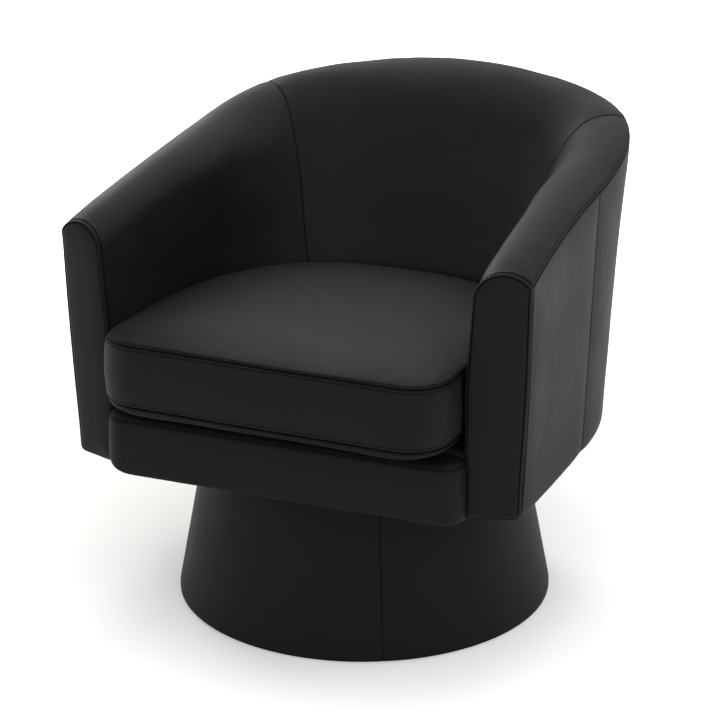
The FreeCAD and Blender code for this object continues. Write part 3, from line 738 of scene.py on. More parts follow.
@dataclass(frozen=True)
class Wood:
    """Sawn or peeled wood: long grain lines with darker late growth, and plies where it is layered."""

    name: str
    colour: str
    grain_colour: str
    grain_mm: float
    ply_mm: float = 0.0
    roughness: float = 0.62

    def build(self) -> bpy.types.Material:
        """Make the material. Plies are bands by height, as a flat-laid board shows them on its edge.

        Returns:
            The material.
        """
        material, tree, place = new_material(self.name)
        along = add_node(tree, "ShaderNodeMapping", {"Scale": (1.0, 0.08, 1.0)}, {"Vector": place})
        lines = add_node(
            tree,
            "ShaderNodeTexNoise",
            {"Scale": 1000 / self.grain_mm, "Detail": 5.0, "Distortion": 0.8},
            {"Vector": along.outputs[0]},
        )
        tone = add_node(
            tree,
            "ShaderNodeMix",
            {"data_type": "RGBA", 6: linear(self.colour), 7: linear(self.grain_colour)},
            {0: lines.outputs["Fac"]},
        )
        colour = tone.outputs[2]
        if self.ply_mm > 0.0:
            parts = add_node(tree, "ShaderNodeSeparateXYZ", links={"Vector": place})
            height = add_node(
                tree,
                "ShaderNodeMath",
                {"operation": "MULTIPLY", 1: math.pi * 1000 / self.ply_mm},
                {0: parts.outputs["Z"]},
            )
            wave = add_node(tree, "ShaderNodeMath", {"operation": "SINE"}, {0: height.outputs[0]})
            band = add_node(
                tree,
                "ShaderNodeMapRange",
                {"From Min": -1.0, "To Min": 0.0, "To Max": 0.35},
                {"Value": wave.outputs[0]},
            )
            plies = add_node(
                tree,
                "ShaderNodeMix",
                {"data_type": "RGBA", 7: linear(self.grain_colour)},
                {0: band.outputs[0], 6: colour},
            )
            colour = plies.outputs[2]
        normal = add_node(
            tree, "ShaderNodeBump", {"Strength": 0.3, "Distance": 0.0004}, {"Height": lines.outputs["Fac"]}
        )
        shader = add_node(
            tree,
            "ShaderNodeBsdfPrincipled",
            {"Roughness": self.roughness},
            {"Base Color": colour, "Normal": normal.outputs[0]},
        )
        close_material(tree, shader)
        return material


@dataclass(frozen=True)
class Woven:
    """Woven tape or cloth: two crossing sets of threads that catch the light in turn."""

    name: str
    colour: str
    thread_colour: str
    thread_mm: float
    roughness: float = 0.85

    def build(self) -> bpy.types.Material:
        """Make the material from two crossing waves.

        Returns:
            The material.
        """
        material, tree, place = new_material(self.name)
        threads = {}
        for number, direction in enumerate(("X", "Y")):
            wave = add_node(
                tree,
                "ShaderNodeTexWave",
                {"bands_direction": direction, "Scale": 1000 / self.thread_mm / math.tau, "Distortion": 0.4},
                {"Vector": place},
            )
            threads[number] = wave.outputs["Fac"]
        weave = add_node(tree, "ShaderNodeMath", {"operation": "MULTIPLY"}, threads)
        tone = add_node(
            tree,
            "ShaderNodeMix",
            {"data_type": "RGBA", 6: linear(self.colour), 7: linear(self.thread_colour)},
            {0: weave.outputs[0]},
        )
        normal = add_node(
            tree, "ShaderNodeBump", {"Strength": 0.6, "Distance": 0.0005}, {"Height": weave.outputs[0]}
        )
        shader = add_node(
            tree,
            "ShaderNodeBsdfPrincipled",
            {"Roughness": self.roughness, "Sheen Weight": 0.05, "IOR": 1.3},
            {"Base Color": tone.outputs[2], "Normal": normal.outputs[0]},
        )
        close_material(tree, shader)
        return material


FINISHES: dict[Slot, Leather | Plain | Wood | Woven] = {
    Slot.LEATHER: Leather(),
    # open-cell polyurethane: matt, with small pores
    Slot.FOAM: Plain("foam_open_cell", "#d9cfae", "#c4b890", 1.5, 0.95, 0.6),
    # rotary-cut birch plywood: pale face, darker glue lines on the edge
    Slot.PLYWOOD: Wood("plywood_rotary_cut", "#c9a878", "#a07c4d", 9.0, 3.0),
    # planed beech: pinkish brown, close grain
    Slot.HARDWOOD: Wood("hardwood_planed", "#b98d61", "#97693f", 5.0),
    # bent fibre board: brown and speckled, one smooth side
    Slot.BENT_BOARD: Plain("fibre_board_bent", "#7a5b3c", "#66482c", 2.0, 0.7, 0.15),
    # zinc-plated pressed steel: bluish and half bright, with a spangle
    Slot.ZINC: Plain("steel_zinc_plated", "#b9bdc1", "#9da3a8", 6.0, 0.36, 0.05, 1.0),
    # ground and polished steel balls
    Slot.BALLS: Plain("steel_ground", "#c9cbcd", "#bbbdc0", 3.0, 0.14, 0.0, 1.0),
    # moulded nylon cage: milky
    Slot.CAGE: Plain("nylon_moulded", "#d5d3c8", "#c9c7ba", 2.0, 0.5, 0.05),
    # moulded glides: black and slightly rough
    Slot.GLIDES: Plain("polyethylene_moulded", "#141414", "#1d1d1d", 2.0, 0.5, 0.08),
    # rubberised elastic webbing
    Slot.WEBBING: Woven("webbing_elastic", "#2c2a28", "#57504a", 2.4),
    # needled felt: fluffy grey
    Slot.FELT: Plain("felt_needled", "#6f6c68", "#54514e", 2.2, 0.95, 0.7),
    # plain-weave black cloth
    Slot.CLOTH: Woven("cloth_plain_weave", "#0b0b0b", "#171717", 1.6),
}
THREAD = Plain("thread_bonded_nylon", "#080808", "#100f0f", 0.6, 0.75, 0.1, 0.0, 1.15)


class Workshop:
    """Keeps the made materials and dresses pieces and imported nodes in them."""

    def __init__(self) -> None:
        """Make every material once."""
        self.materials = {slot: finish.build() for slot, finish in FINISHES.items()}
        self.thread = THREAD.build()

    def dress(
        self,
        thing: bpy.types.Object,
        body: Body,
        slot: Slot,
        nodes: Iterable[str] = (),
        fill: float | None = None,
        material: bpy.types.Material | None = None,
    ) -> bpy.types.Object:
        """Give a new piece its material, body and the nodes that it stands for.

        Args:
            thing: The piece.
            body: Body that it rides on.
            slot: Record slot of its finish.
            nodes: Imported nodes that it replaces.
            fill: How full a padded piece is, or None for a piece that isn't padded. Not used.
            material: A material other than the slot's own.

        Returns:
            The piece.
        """
        thing.data.materials.clear()
        thing.data.materials.append(material or self.materials[slot])
        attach(thing, body.value)
        if nodes:
            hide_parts(*nodes)
        log.info("%s: %d faces", thing.name, len(thing.data.polygons))
        return thing

    def pulled_over(self, thing: bpy.types.Object, sheet: tuple[float, float, float], rests_on: str) -> None:
        """Stand for a piece of leather or cloth that is pulled tight over what is under it; nothing is done
        with it.

        Args:
            thing: The piece. Not used.
            sheet: Width, length and area of the flat sheet. Not used.
            rests_on: Node or piece under it. Not used.
        """

    def dress_nodes(self) -> None:
        """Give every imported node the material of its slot."""
        slots = {part["node"]: Slot(part["material_slot"]) for part in frame["record"]["subparts"]}
        for name, thing in frame["nodes"].items():
            thing.data.materials.clear()
            thing.data.materials.append(self.materials[slots[name]])


class Stitching:
    """Rows of short stitches that lie on the pieces they sew."""

    PITCH = 0.0062
    LENGTH = 0.0043
    THREAD_RADIUS = 0.00042
    # how far the middle of the thread stands off the leather, of its radius
    PROUD_SHARE = 0.35

    def __init__(self, name: str) -> None:
        """Start an empty row.

        Args:
            name: Name of the piece that holds the stitches.
        """
        self.name = name
        self.mesh = bmesh.new()

    def sew(self, line: Sequence[Vector], cloth: BVHTree) -> None:
        """Sew along a line, with every stitch pressed on to the nearest surface.

        Args:
            line: Points to sew along.
            cloth: Surface that the stitches lie on.
        """
        travelled = travelled_along(line)
        count = int(travelled[-1] / self.PITCH)
        size = Matrix.Diagonal((self.LENGTH / 2, self.THREAD_RADIUS, self.THREAD_RADIUS, 1.0))
        for step in range(count):
            wanted = (step + 0.5) * travelled[-1] / count
            index = max(1, bisect_left(travelled, wanted))
            before, after = line[index - 1], line[index]
            part = (wanted - travelled[index - 1]) / max(TINY, travelled[index] - travelled[index - 1])
            spot, normal, _, _ = cloth.find_nearest(before.lerp(after, part))
            along = after - before
            along -= normal * along.dot(normal)
            along.normalize()
            turn = Matrix((along, normal.cross(along), normal)).transposed().to_4x4()
            where = Matrix.Translation(spot + normal * self.THREAD_RADIUS * self.PROUD_SHARE)
            bmesh.ops.create_icosphere(self.mesh, subdivisions=1, radius=1.0, matrix=where @ turn @ size)

    def finish(self, shop: Workshop, body: Body) -> None:
        """Make the piece that holds the stitches and dress it in thread.

        Args:
            shop: Workshop that has the thread.
            body: Body that the stitches ride on.
        """
        shop.dress(object_from(self.name, self.mesh), body, Slot.LEATHER, material=shop.thread)


def waves(spot: Vector, x: float, y: float, z: float) -> float:
    """Noise with its own number of waves to the metre along each axis."""
    return noise(Vector((spot.x * x, spot.y * y, spot.z * z)))


@dataclass(frozen=True)
class Swell:
    """A soft rise of the leather: its height, how far down its middle lies, and how far it spreads."""

    height: float
    down: float
    tall: float
    long: float = math.inf

    def at(self, top: float, side: float) -> float:
        """Height of the rise at distances from the top seam and from a side seam."""
        return self.height * bell(top - self.down, self.tall) * bell(side, self.long)


@dataclass
class TubCovers:
    """Leather of the tub: outside, inside, arm fronts and the thread that joins them."""

    wall: TubWall
    shop: Workshop
    groove: float = 0.0017
    groove_width: float = 0.0024
    seam_lap: float = 0.0008
    ripple_fade: float = 0.01
    outside_groove_share: float = 0.6
    outside_swell: float = 0.0014
    outside_swell_fade: float = 0.02
    outside_ripple: float = 0.0005
    outside_pucker: float = 0.0004
    arm_belly: float = 0.0022
    arm_belly_length: float = 0.09
    inside_swell: float = 0.0030
    inside_swell_fade: float = 0.035
    inside_ripple: float = 0.0007
    inside_pucker: float = 0.0006
    # below this height the seat cushion hides the leather, which lies flat there
    quiet_z: float = 0.50
    quiet_fade: float = 0.06
    quiet_groove_share: float = 0.35
    corner_fill: Swell = Swell(0.0060, 0.060, 0.036, 0.12)
    corner_creases: Swell = Swell(0.0009, 0.07, 0.06, 0.05)
    back_gathers: Swell = Swell(0.0009, 0.03, 0.06)
    rim_stitch: float = 0.0052
    front_stitch: float = 0.0030
    stitch_end: float = 0.004
    seam_depth_share: float = 0.55
    inside_seam: Table = (
        (0.0, 0.629),
        (0.064, 0.633),
        (0.080, 0.635),
        (0.100, 0.637),
        (0.130, 0.638),
        (0.175, 0.638),
        (0.400, 0.600),
    )
    # how far in from the edge of an arm front each ring of it lies, and how far forward
    front_rings: Table = (
        (0.0014, -0.0022),
        (0.0, 0.0014),
        (0.0004, 0.0031),
        (0.0014, 0.0045),
        (0.0024, 0.0050),
        (0.0030, 0.0046),
        (0.0035, 0.0040),
        (0.0040, 0.0047),
        (0.0047, 0.0055),
        (0.0062, 0.0063),
        (0.009, 0.0071),
        (0.014, 0.0080),
        (0.020, 0.0087),
        (0.026, 0.0091),
        (0.032, 0.0093),
    )
    front_seam_ring: int = 6
    # width of the painted shade along the seam ring of an arm front
    front_seam_shade_width: float = 0.0010
    front_steps: int = 110
    front_spine: float = 0.046
    front_bulge: float = 0.0022
    front_half_width: float = 0.045
    pieces: dict[str, bpy.types.Object] = field(default_factory=dict)

    def ripple(self, spot: Vector, size: float) -> float:
        """Gentle unevenness of hand-pulled leather, in metres."""
        return size * noise(spot * 14.0) + size * 0.5 * noise(spot * 37.0 + Vector((3.1, 0.0, 0.0)))

    def pucker(self, spot: Vector, distance: float, size: float) -> float:
        """Small gathers that die away from a seam."""
        return size * bell(distance, 0.009) * noise(spot * 95.0)

    def cover(
        self, name: str, stops: tuple[list[float], list[float]], place: Place, relief: Relief, eye: Vector
    ) -> Sheet:
        """Grow a cover with its relief, its seams and its topstitching, both with painted shade along them.

        Args:
            name: Name of the piece.
            stops: Stops across and down.
            place: Gives the point in space of a stop across and a stop down.
            relief: How far the cover stands off the frame.
            eye: A point that its right side faces.

        Returns:
            The sheet.
        """
        sheet = Sheet(name, stops[0], stops[1], place, eye)
        sheet.raise_by(relief)
        # painted shade along the seams and the topstitching
        sheet.mark_seams(lambda edge: min(edge.start, edge.end, edge.top))
        sheet.sink_and_shade_stitching(self.topstitching(name))
        return sheet

    def outside(self) -> None:
        """Sew the three outside covers."""
        seam = self.wall.sizes.side_seam_share
        runs = {
            "outside_left": (0.0, seam, Vector((3.0, 0.0, 0.4)), "left_arm_frame"),
            "outside_back": (seam, 2.0 - seam, Vector((0.0, 4.0, 0.6)), "back_shell"),
            "outside_right": (2.0 - seam, 2.0, Vector((-3.0, 0.0, 0.4)), "right_arm_frame"),
        }
        for name, (first, last, eye, below) in runs.items():
            stops = graded((last - first) * self.wall.rim_length, 0.0011, 0.014), graded(0.42, 0.0011, 0.014)
            place = self.outer_place(first, last)
            sheet = self.cover(name, stops, place, self.outside_relief(name), eye)
            flat = sheet.flat_size()
            thing = sheet.finish(LEATHER_THICKNESS)
            self.pieces[name] = self.shop.dress(thing, Body.TUB, Slot.LEATHER, [f"{name}_cover"])
            self.shop.pulled_over(thing, flat, below)

    def lapped(self, first: float, last: float) -> tuple[float, float]:
        """Travel of both ends of a cover, each one taken a little past its seam."""
        lap = self.seam_lap / self.wall.rim_length
        return first - (lap if first > 0.0 else 0.0), last + (lap if last < 2.0 else 0.0)

    def outer_place(self, first: float, last: float) -> Place:
        """Rule that puts a stop of an outside cover on the outer face."""
        first, last = self.lapped(first, last)
        return lambda u, v: self.wall.outer_at(first + (last - first) * u, v)

    def outside_relief(self, name: str) -> Relief:
        """Rule for how far an outside cover stands off the frame."""

        def relief(spot: Vector, edge: EdgeDistances) -> float:
            """Swell over the frame, sunk at the seams, fuller behind an arm's front."""
            near = min(edge.start, edge.end, edge.top)
            lift = self.outside_swell * (1.0 - bell(near, self.outside_swell_fade))
            lift -= self.groove * self.outside_groove_share * bell(near, self.groove_width)
            lift += self.ripple(spot, self.outside_ripple) * (1.0 - bell(near, self.ripple_fade))
            lift += self.pucker(spot, near, self.outside_pucker)
            if name != "outside_back":
                front = edge.start if name == "outside_left" else edge.end
                middle = edge.top * edge.bottom / ((edge.top + edge.bottom) / 2) ** 2
                lift += self.arm_belly * middle * bell(front, self.arm_belly_length)
            return lift

        return relief

    def seam_travel(self, down: float) -> float:
        """Travel of the seam between an inside arm cover and the inside back cover."""
        return eased(self.inside_seam, down * self.seam_depth_share)

    def inside(self) -> None:
        """Sew the three inside covers, which go over the top to the outer seam."""
        runs = {
            "inside_left": (Vector((-1.0, -0.3, 1.5)), "left_arm_pad"),
            "inside_back": (Vector((0.0, -1.5, 1.6)), "back_pad"),
            "inside_right": (Vector((1.0, -0.3, 1.5)), "right_arm_pad"),
        }
        stops = graded(0.62, 0.0011, 0.013), graded(0.55, 0.0011, 0.010)
        for name, (eye, pad) in runs.items():
            sheet = self.cover(name, stops, self.inner_place(name), self.inside_relief(name), eye)
            thing = sheet.finish(LEATHER_THICKNESS)
            nodes = [f"{name}_cover", pad]
            self.pieces[name] = self.shop.dress(thing, Body.TUB, Slot.LEATHER, nodes, fill=0.9)

    def topstitching(self, name: str) -> Callable[[EdgeDistances], float]:
        """Rule for the distance from a cover's topstitching: beside an arm's front and under the rim."""
        beside_front = {"left": "start", "right": "end"}.get(name.split("_")[1])

        def distance(edge: EdgeDistances) -> float:
            """Distance of a place on the cover from its nearest row of stitches."""
            front = abs((getattr(edge, beside_front) if beside_front else 1.0) - self.front_stitch)
            return min(front, abs(edge.top - self.rim_stitch)) if name.startswith("inside") else front

        return distance

    def inner_place(self, name: str) -> Place:
        """Rule that puts a stop of an inside cover on the inner face."""

        def place(u: float, v: float) -> Vector:
            """Point of the inner face between the cover's two seams at that depth."""
            seam = self.seam_travel(v)
            ends = {
                "inside_left": (0.0, seam),
                "inside_back": (seam, 2.0 - seam),
                "inside_right": (2.0 - seam, 2.0),
            }
            first, last = self.lapped(*ends[name])
            return self.wall.inner_at(first + (last - first) * u, v)

        return place

    def inside_relief(self, name: str) -> Relief:
        """Rule for how far an inside cover swells over its foam."""

        def relief(spot: Vector, edge: EdgeDistances) -> float:
            """Swell of the foam, fuller where the arms meet the back, quiet low down."""
            near = min(edge.start, edge.end, edge.top)
            loose = min(1.0, max(0.0, (spot.z - self.quiet_z) / self.quiet_fade))
            lift = self.inside_swell * loose * (1.0 - bell(near, self.inside_swell_fade))
            groove_share = self.quiet_groove_share + (1.0 - self.quiet_groove_share) * loose
            lift -= self.groove * bell(near, self.groove_width) * groove_share
            lift += self.ripple(spot, self.inside_ripple) * loose * (1.0 - bell(near, self.ripple_fade))
            lift += self.pucker(spot, near, self.inside_pucker) * loose
            seam = {"inside_left": edge.end, "inside_right": edge.start}.get(name, min(edge.start, edge.end))
            lift += self.corner_fill.at(edge.top, seam)
            lift += self.corner_creases.at(edge.top, seam) * waves(spot, 60.0, 60.0, 25.0)
            if name == "inside_back":
                lift += self.back_gathers.at(edge.top, seam) * waves(spot, 34.0, 20.0, 5.0)
            return lift

        return relief

    def arm_outline(self) -> Line:
        """Closed line round the front end of an arm, in the plane of the wall's first cut.

        Returns:
            Distances inward and heights, from the middle of the underside up the outside to the top,
            and down again.
        """
        cut = self.wall.cuts[0]
        outer, inner = cut.outer_line(), cut.inner_line()
        top = max(range(len(inner)), key=lambda index: inner[index][1])
        below = ((outer[-1][0] + inner[-1][0]) / 2, self.wall.sizes.floor_z)
        rising = even_points([below] + outer[::-1] + inner[1:top + 1], self.front_steps)
        falling = even_points(inner[top:] + [(cut.foot_in, self.wall.sizes.floor_z), below], self.front_steps)
        return [(float(w), float(z)) for w, z in np.concatenate([rising[:-1], falling[:-1]])]

    def arm_place(self, side: int, outline: Line) -> Place:
        """Rule that puts a stop of an arm front's panel in place.

        Args:
            side: 1 for the left arm and -1 for the right one.
            outline: Line round the front end of the arm.

        Returns:
            The rule.
        """
        cut = self.wall.cuts[0]
        rings = self.front_rings
        middle = (min(w for w, _ in outline) + max(w for w, _ in outline)) / 2
        low_z = self.wall.sizes.floor_z + self.front_spine
        high_z = cut.apex_z - self.front_spine

        def place(u: float, v: float) -> Vector:
            """Point of a ring, drawn in towards the panel's upright middle line."""
            w, z = outline[round(u * len(outline)) % len(outline)]
            inset, forward = rings[round(v * (len(rings) - 1))]
            spine_z = min(high_z, max(low_z, z))
            share = min(0.9, inset / max(TINY, math.hypot(middle - w, spine_z - z)))
            inward, height = w + (middle - w) * share, z + (spine_z - z) * share
            part = (height - low_z) / (high_z - low_z)
            bulge = self.front_bulge * max(0.0, 4 * part * (1 - part)) * (middle - w) / self.front_half_width
            x, y, _ = cut.place(inward - max(0.0, bulge) * (1.0 - inset / self.front_spine), height)
            return Vector((side * x, y - forward, height))

        return place

    def arm_fronts(self) -> None:
        """Make the padded panel on the front of each arm."""
        outline = self.arm_outline()
        rows = len(self.front_rings)
        across = [step / len(outline) for step in range(len(outline) + 1)]
        down = [step / (rows - 1) for step in range(rows)]
        for side, hand in ((1, "left"), (-1, "right")):
            eye = Vector((side * 0.3, -3.0, 0.45))
            sheet = Sheet(f"{hand}_arm_front_panel", across, down, self.arm_place(side, outline), eye)
            seam = travelled_along([sheet.point(0, row).co for row in range(self.front_seam_ring + 1)])[-1]
            # painted shade along the seam ring of the arm front, faded out towards the underside
            sheet.mark_seams(lambda edge: edge.top - seam, self.front_seam_shade_width)
            for vertex in sheet.mesh.verts:
                above = (vertex.co.z - self.wall.sizes.floor_z - 0.004) / 0.008
                vertex[sheet.seam] *= min(1.0, max(0.15, above))
            ring = [sheet.point(column, rows - 1) for column in range(len(outline))]
            for step in range(self.front_steps):
                rung = [ring[step], ring[step + 1], ring[-step - 1], ring[-step]]
                sheet.mesh.faces.new(dict.fromkeys(rung))
            sheet.merge()
            bmesh.ops.recalc_face_normals(sheet.mesh, faces=sheet.mesh.faces[:])
            sheet.turn_towards(eye)
            thing = sheet.finish(LEATHER_THICKNESS)
            self.shop.dress(thing, Body.TUB, Slot.LEATHER, [f"{hand}_arm_front"], fill=0.9)

    def thread(self) -> None:
        """Sew the stitches that show: along the rim and behind the arm fronts."""
        row = Stitching("tub_thread")
        cloths = {name: surface_of(thing) for name, thing in self.pieces.items()}
        gap = self.stitch_end
        beside = self.rim_stitch / self.wall.inner_length
        behind = self.front_stitch / self.wall.rim_length
        seam = self.seam_travel(beside)
        inner, outer = self.wall.inner_at, self.wall.outer_at
        # the cover, its face of the wall, and the travel and share of the way down at both ends
        runs = (
            ("inside_left", inner, (0.006, beside), (seam - gap, beside)),
            ("inside_back", inner, (seam + gap, beside), (2.0 - seam - gap, beside)),
            ("inside_right", inner, (2.0 - seam + gap, beside), (1.994, beside)),
            ("inside_left", inner, (behind, 0.012), (behind, 0.952)),
            ("inside_right", inner, (2.0 - behind, 0.012), (2.0 - behind, 0.952)),
            ("outside_left", outer, (behind, 0.012), (behind, 0.972)),
            ("outside_right", outer, (2.0 - behind, 0.012), (2.0 - behind, 0.972)),
        )
        for name, face, start, end in runs:
            places = np.linspace(start, end, TRACE_STEPS + 1)
            row.sew([face(float(travel), float(down)) for travel, down in places], cloths[name])
        row.finish(self.shop, Body.TUB)


@dataclass
class FrontRail:
    """Padded leather front of the seat, under the loose cushion."""

    shop: Workshop
    half_width: float = 0.2690
    front_y: float = -0.322
    back_y: float = -0.276
    corner: float = 0.033
    floor_z: float = 0.2625
    top_z: float = 0.352
    steps: int = 180
    stitch_height: float = 0.90
    stitch_inset: float = 0.0032
    stitch_sink: float = 0.0006
    # the bottom is drawn up at one end, and this fades out towards the middle and the padded swell
    drawn_up: float = 0.026
    drawn_length: float = 0.050
    drawn_limit: float = 0.995
    drawn_height: float = 0.62
    turned_in: float = 0.02
    # share of the height and the inset from the widest outline
    profile: tuple[tuple[float, float], ...] = (
        (0.0, 0.030),
        (0.0, 0.010),
        (0.002, 0.0040),
        (0.014, 0.0014),
        (0.045, 0.0004),
        (0.12, 0.0001),
        (0.34, 0.0),
        (0.48, 0.0),
        (0.62, 0.0002),
        (0.74, 0.0007),
        (0.82, 0.0014),
        (0.86, 0.0020),
        (0.885, 0.0027),
        (0.90, 0.0032),
        (0.915, 0.0038),
        (0.94, 0.0051),
        (0.97, 0.0078),
        (0.992, 0.0122),
        (1.0, 0.018),
        (1.0, 0.027),
        (1.0, 0.0385),
    )

    def outline_at(self, share: float, inset: float) -> Vector:
        """Plan point of the rail's outline from its left end round the front to its right end."""
        if share > 0.5:
            mirrored = self.outline_at(1.0 - share, inset)
            return Vector((-mirrored.x, mirrored.y, 0.0))
        radius = self.corner
        depth = self.back_y - self.front_y - radius
        bend = math.pi / 2 * radius
        straight = 2 * (self.half_width - radius)
        travelled = share * (2 * depth + 2 * bend + straight)
        if travelled < depth:
            return Vector((self.half_width - inset, self.back_y - travelled, 0.0))
        if travelled < depth + bend:
            angle = (travelled - depth) / radius
            scale = max(radius - inset, 0.0)
            x = self.half_width - radius + scale * math.cos(angle)
            return Vector((x, self.front_y + radius - scale * math.sin(angle), 0.0))
        across = travelled - depth - bend
        return Vector((self.half_width - radius - across, self.front_y + inset, 0.0))

    def height_at(self, share: float) -> float:
        """Height at a share of the way up."""
        return self.floor_z + (self.top_z - self.floor_z) * share

    def place(self, u: float, v: float) -> Vector:
        """Point of the cover at a stop across and a stop down its profile."""
        share, inset = self.profile[round(v * (len(self.profile) - 1))]
        spot = self.outline_at(u, inset)
        past = (self.drawn_length - self.half_width - spot.x) / self.drawn_length
        past = min(self.drawn_limit, max(0.0, past)) if inset < self.turned_in else 0.0
        fade = max(0.0, 1.0 - share / self.drawn_height)
        rise = self.drawn_up * (1.0 - math.sqrt(1.0 - past * past)) * fade
        spot.z = self.height_at(share) + rise
        return spot

    def relief(self, spot: Vector, edge: EdgeDistances) -> float:
        """Slack waves and short gathers of the cover."""
        wave = noise(Vector((spot.x * 18.0, spot.z * 6.0, 0.3)))
        gather = noise(Vector((spot.x * 70.0, spot.z * 12.0, 1.7)))
        return 0.0010 * wave + 0.0004 * gather

    def build(self) -> None:
        """Make the rail's padded cover with the stitched line below its top edge."""
        across = [step / self.steps for step in range(self.steps + 1)]
        down = [step / (len(self.profile) - 1) for step in range(len(self.profile))]
        sheet = Sheet("seat_front_panel", across, down, self.place, Vector((0.0, -3.0, 0.5)))
        sheet.raise_by(self.relief)
        line_z = self.height_at(self.stitch_height)
        # painted shade along the stitched line across the front, which also sinks the leather there a little
        for vertex in sheet.mesh.verts:
            in_front = vertex.co.y < self.back_y - 0.004
            vertex[sheet.seam] = 0.55 * bell(vertex.co.z - line_z, 0.0014) if in_front else 0.0
            vertex.co.y += self.stitch_sink * vertex[sheet.seam]
        thing = sheet.finish(LEATHER_THICKNESS)
        self.shop.dress(thing, Body.TUB, Slot.LEATHER, ["front_rail_cover", "front_rail_pad"], fill=0.85)
        shares = np.linspace(0.03, 0.97, TRACE_STEPS + 1)
        line = [self.outline_at(share, self.stitch_inset) for share in shares]
        for spot in line:
            spot.z = line_z
        thread = Stitching("seat_front_thread")
        thread.sew(line, surface_of(thing))
        thread.finish(self.shop, Body.TUB)


def pitched(spot: Vector) -> Vector:
    """Point tipped back with the seat, about the top rear edge of the front rail."""
    turn = Matrix.Rotation(math.radians(-SEAT_PITCH_DEGREES), 4, "X")
    return SEAT_PIVOT + turn @ (spot - SEAT_PIVOT)


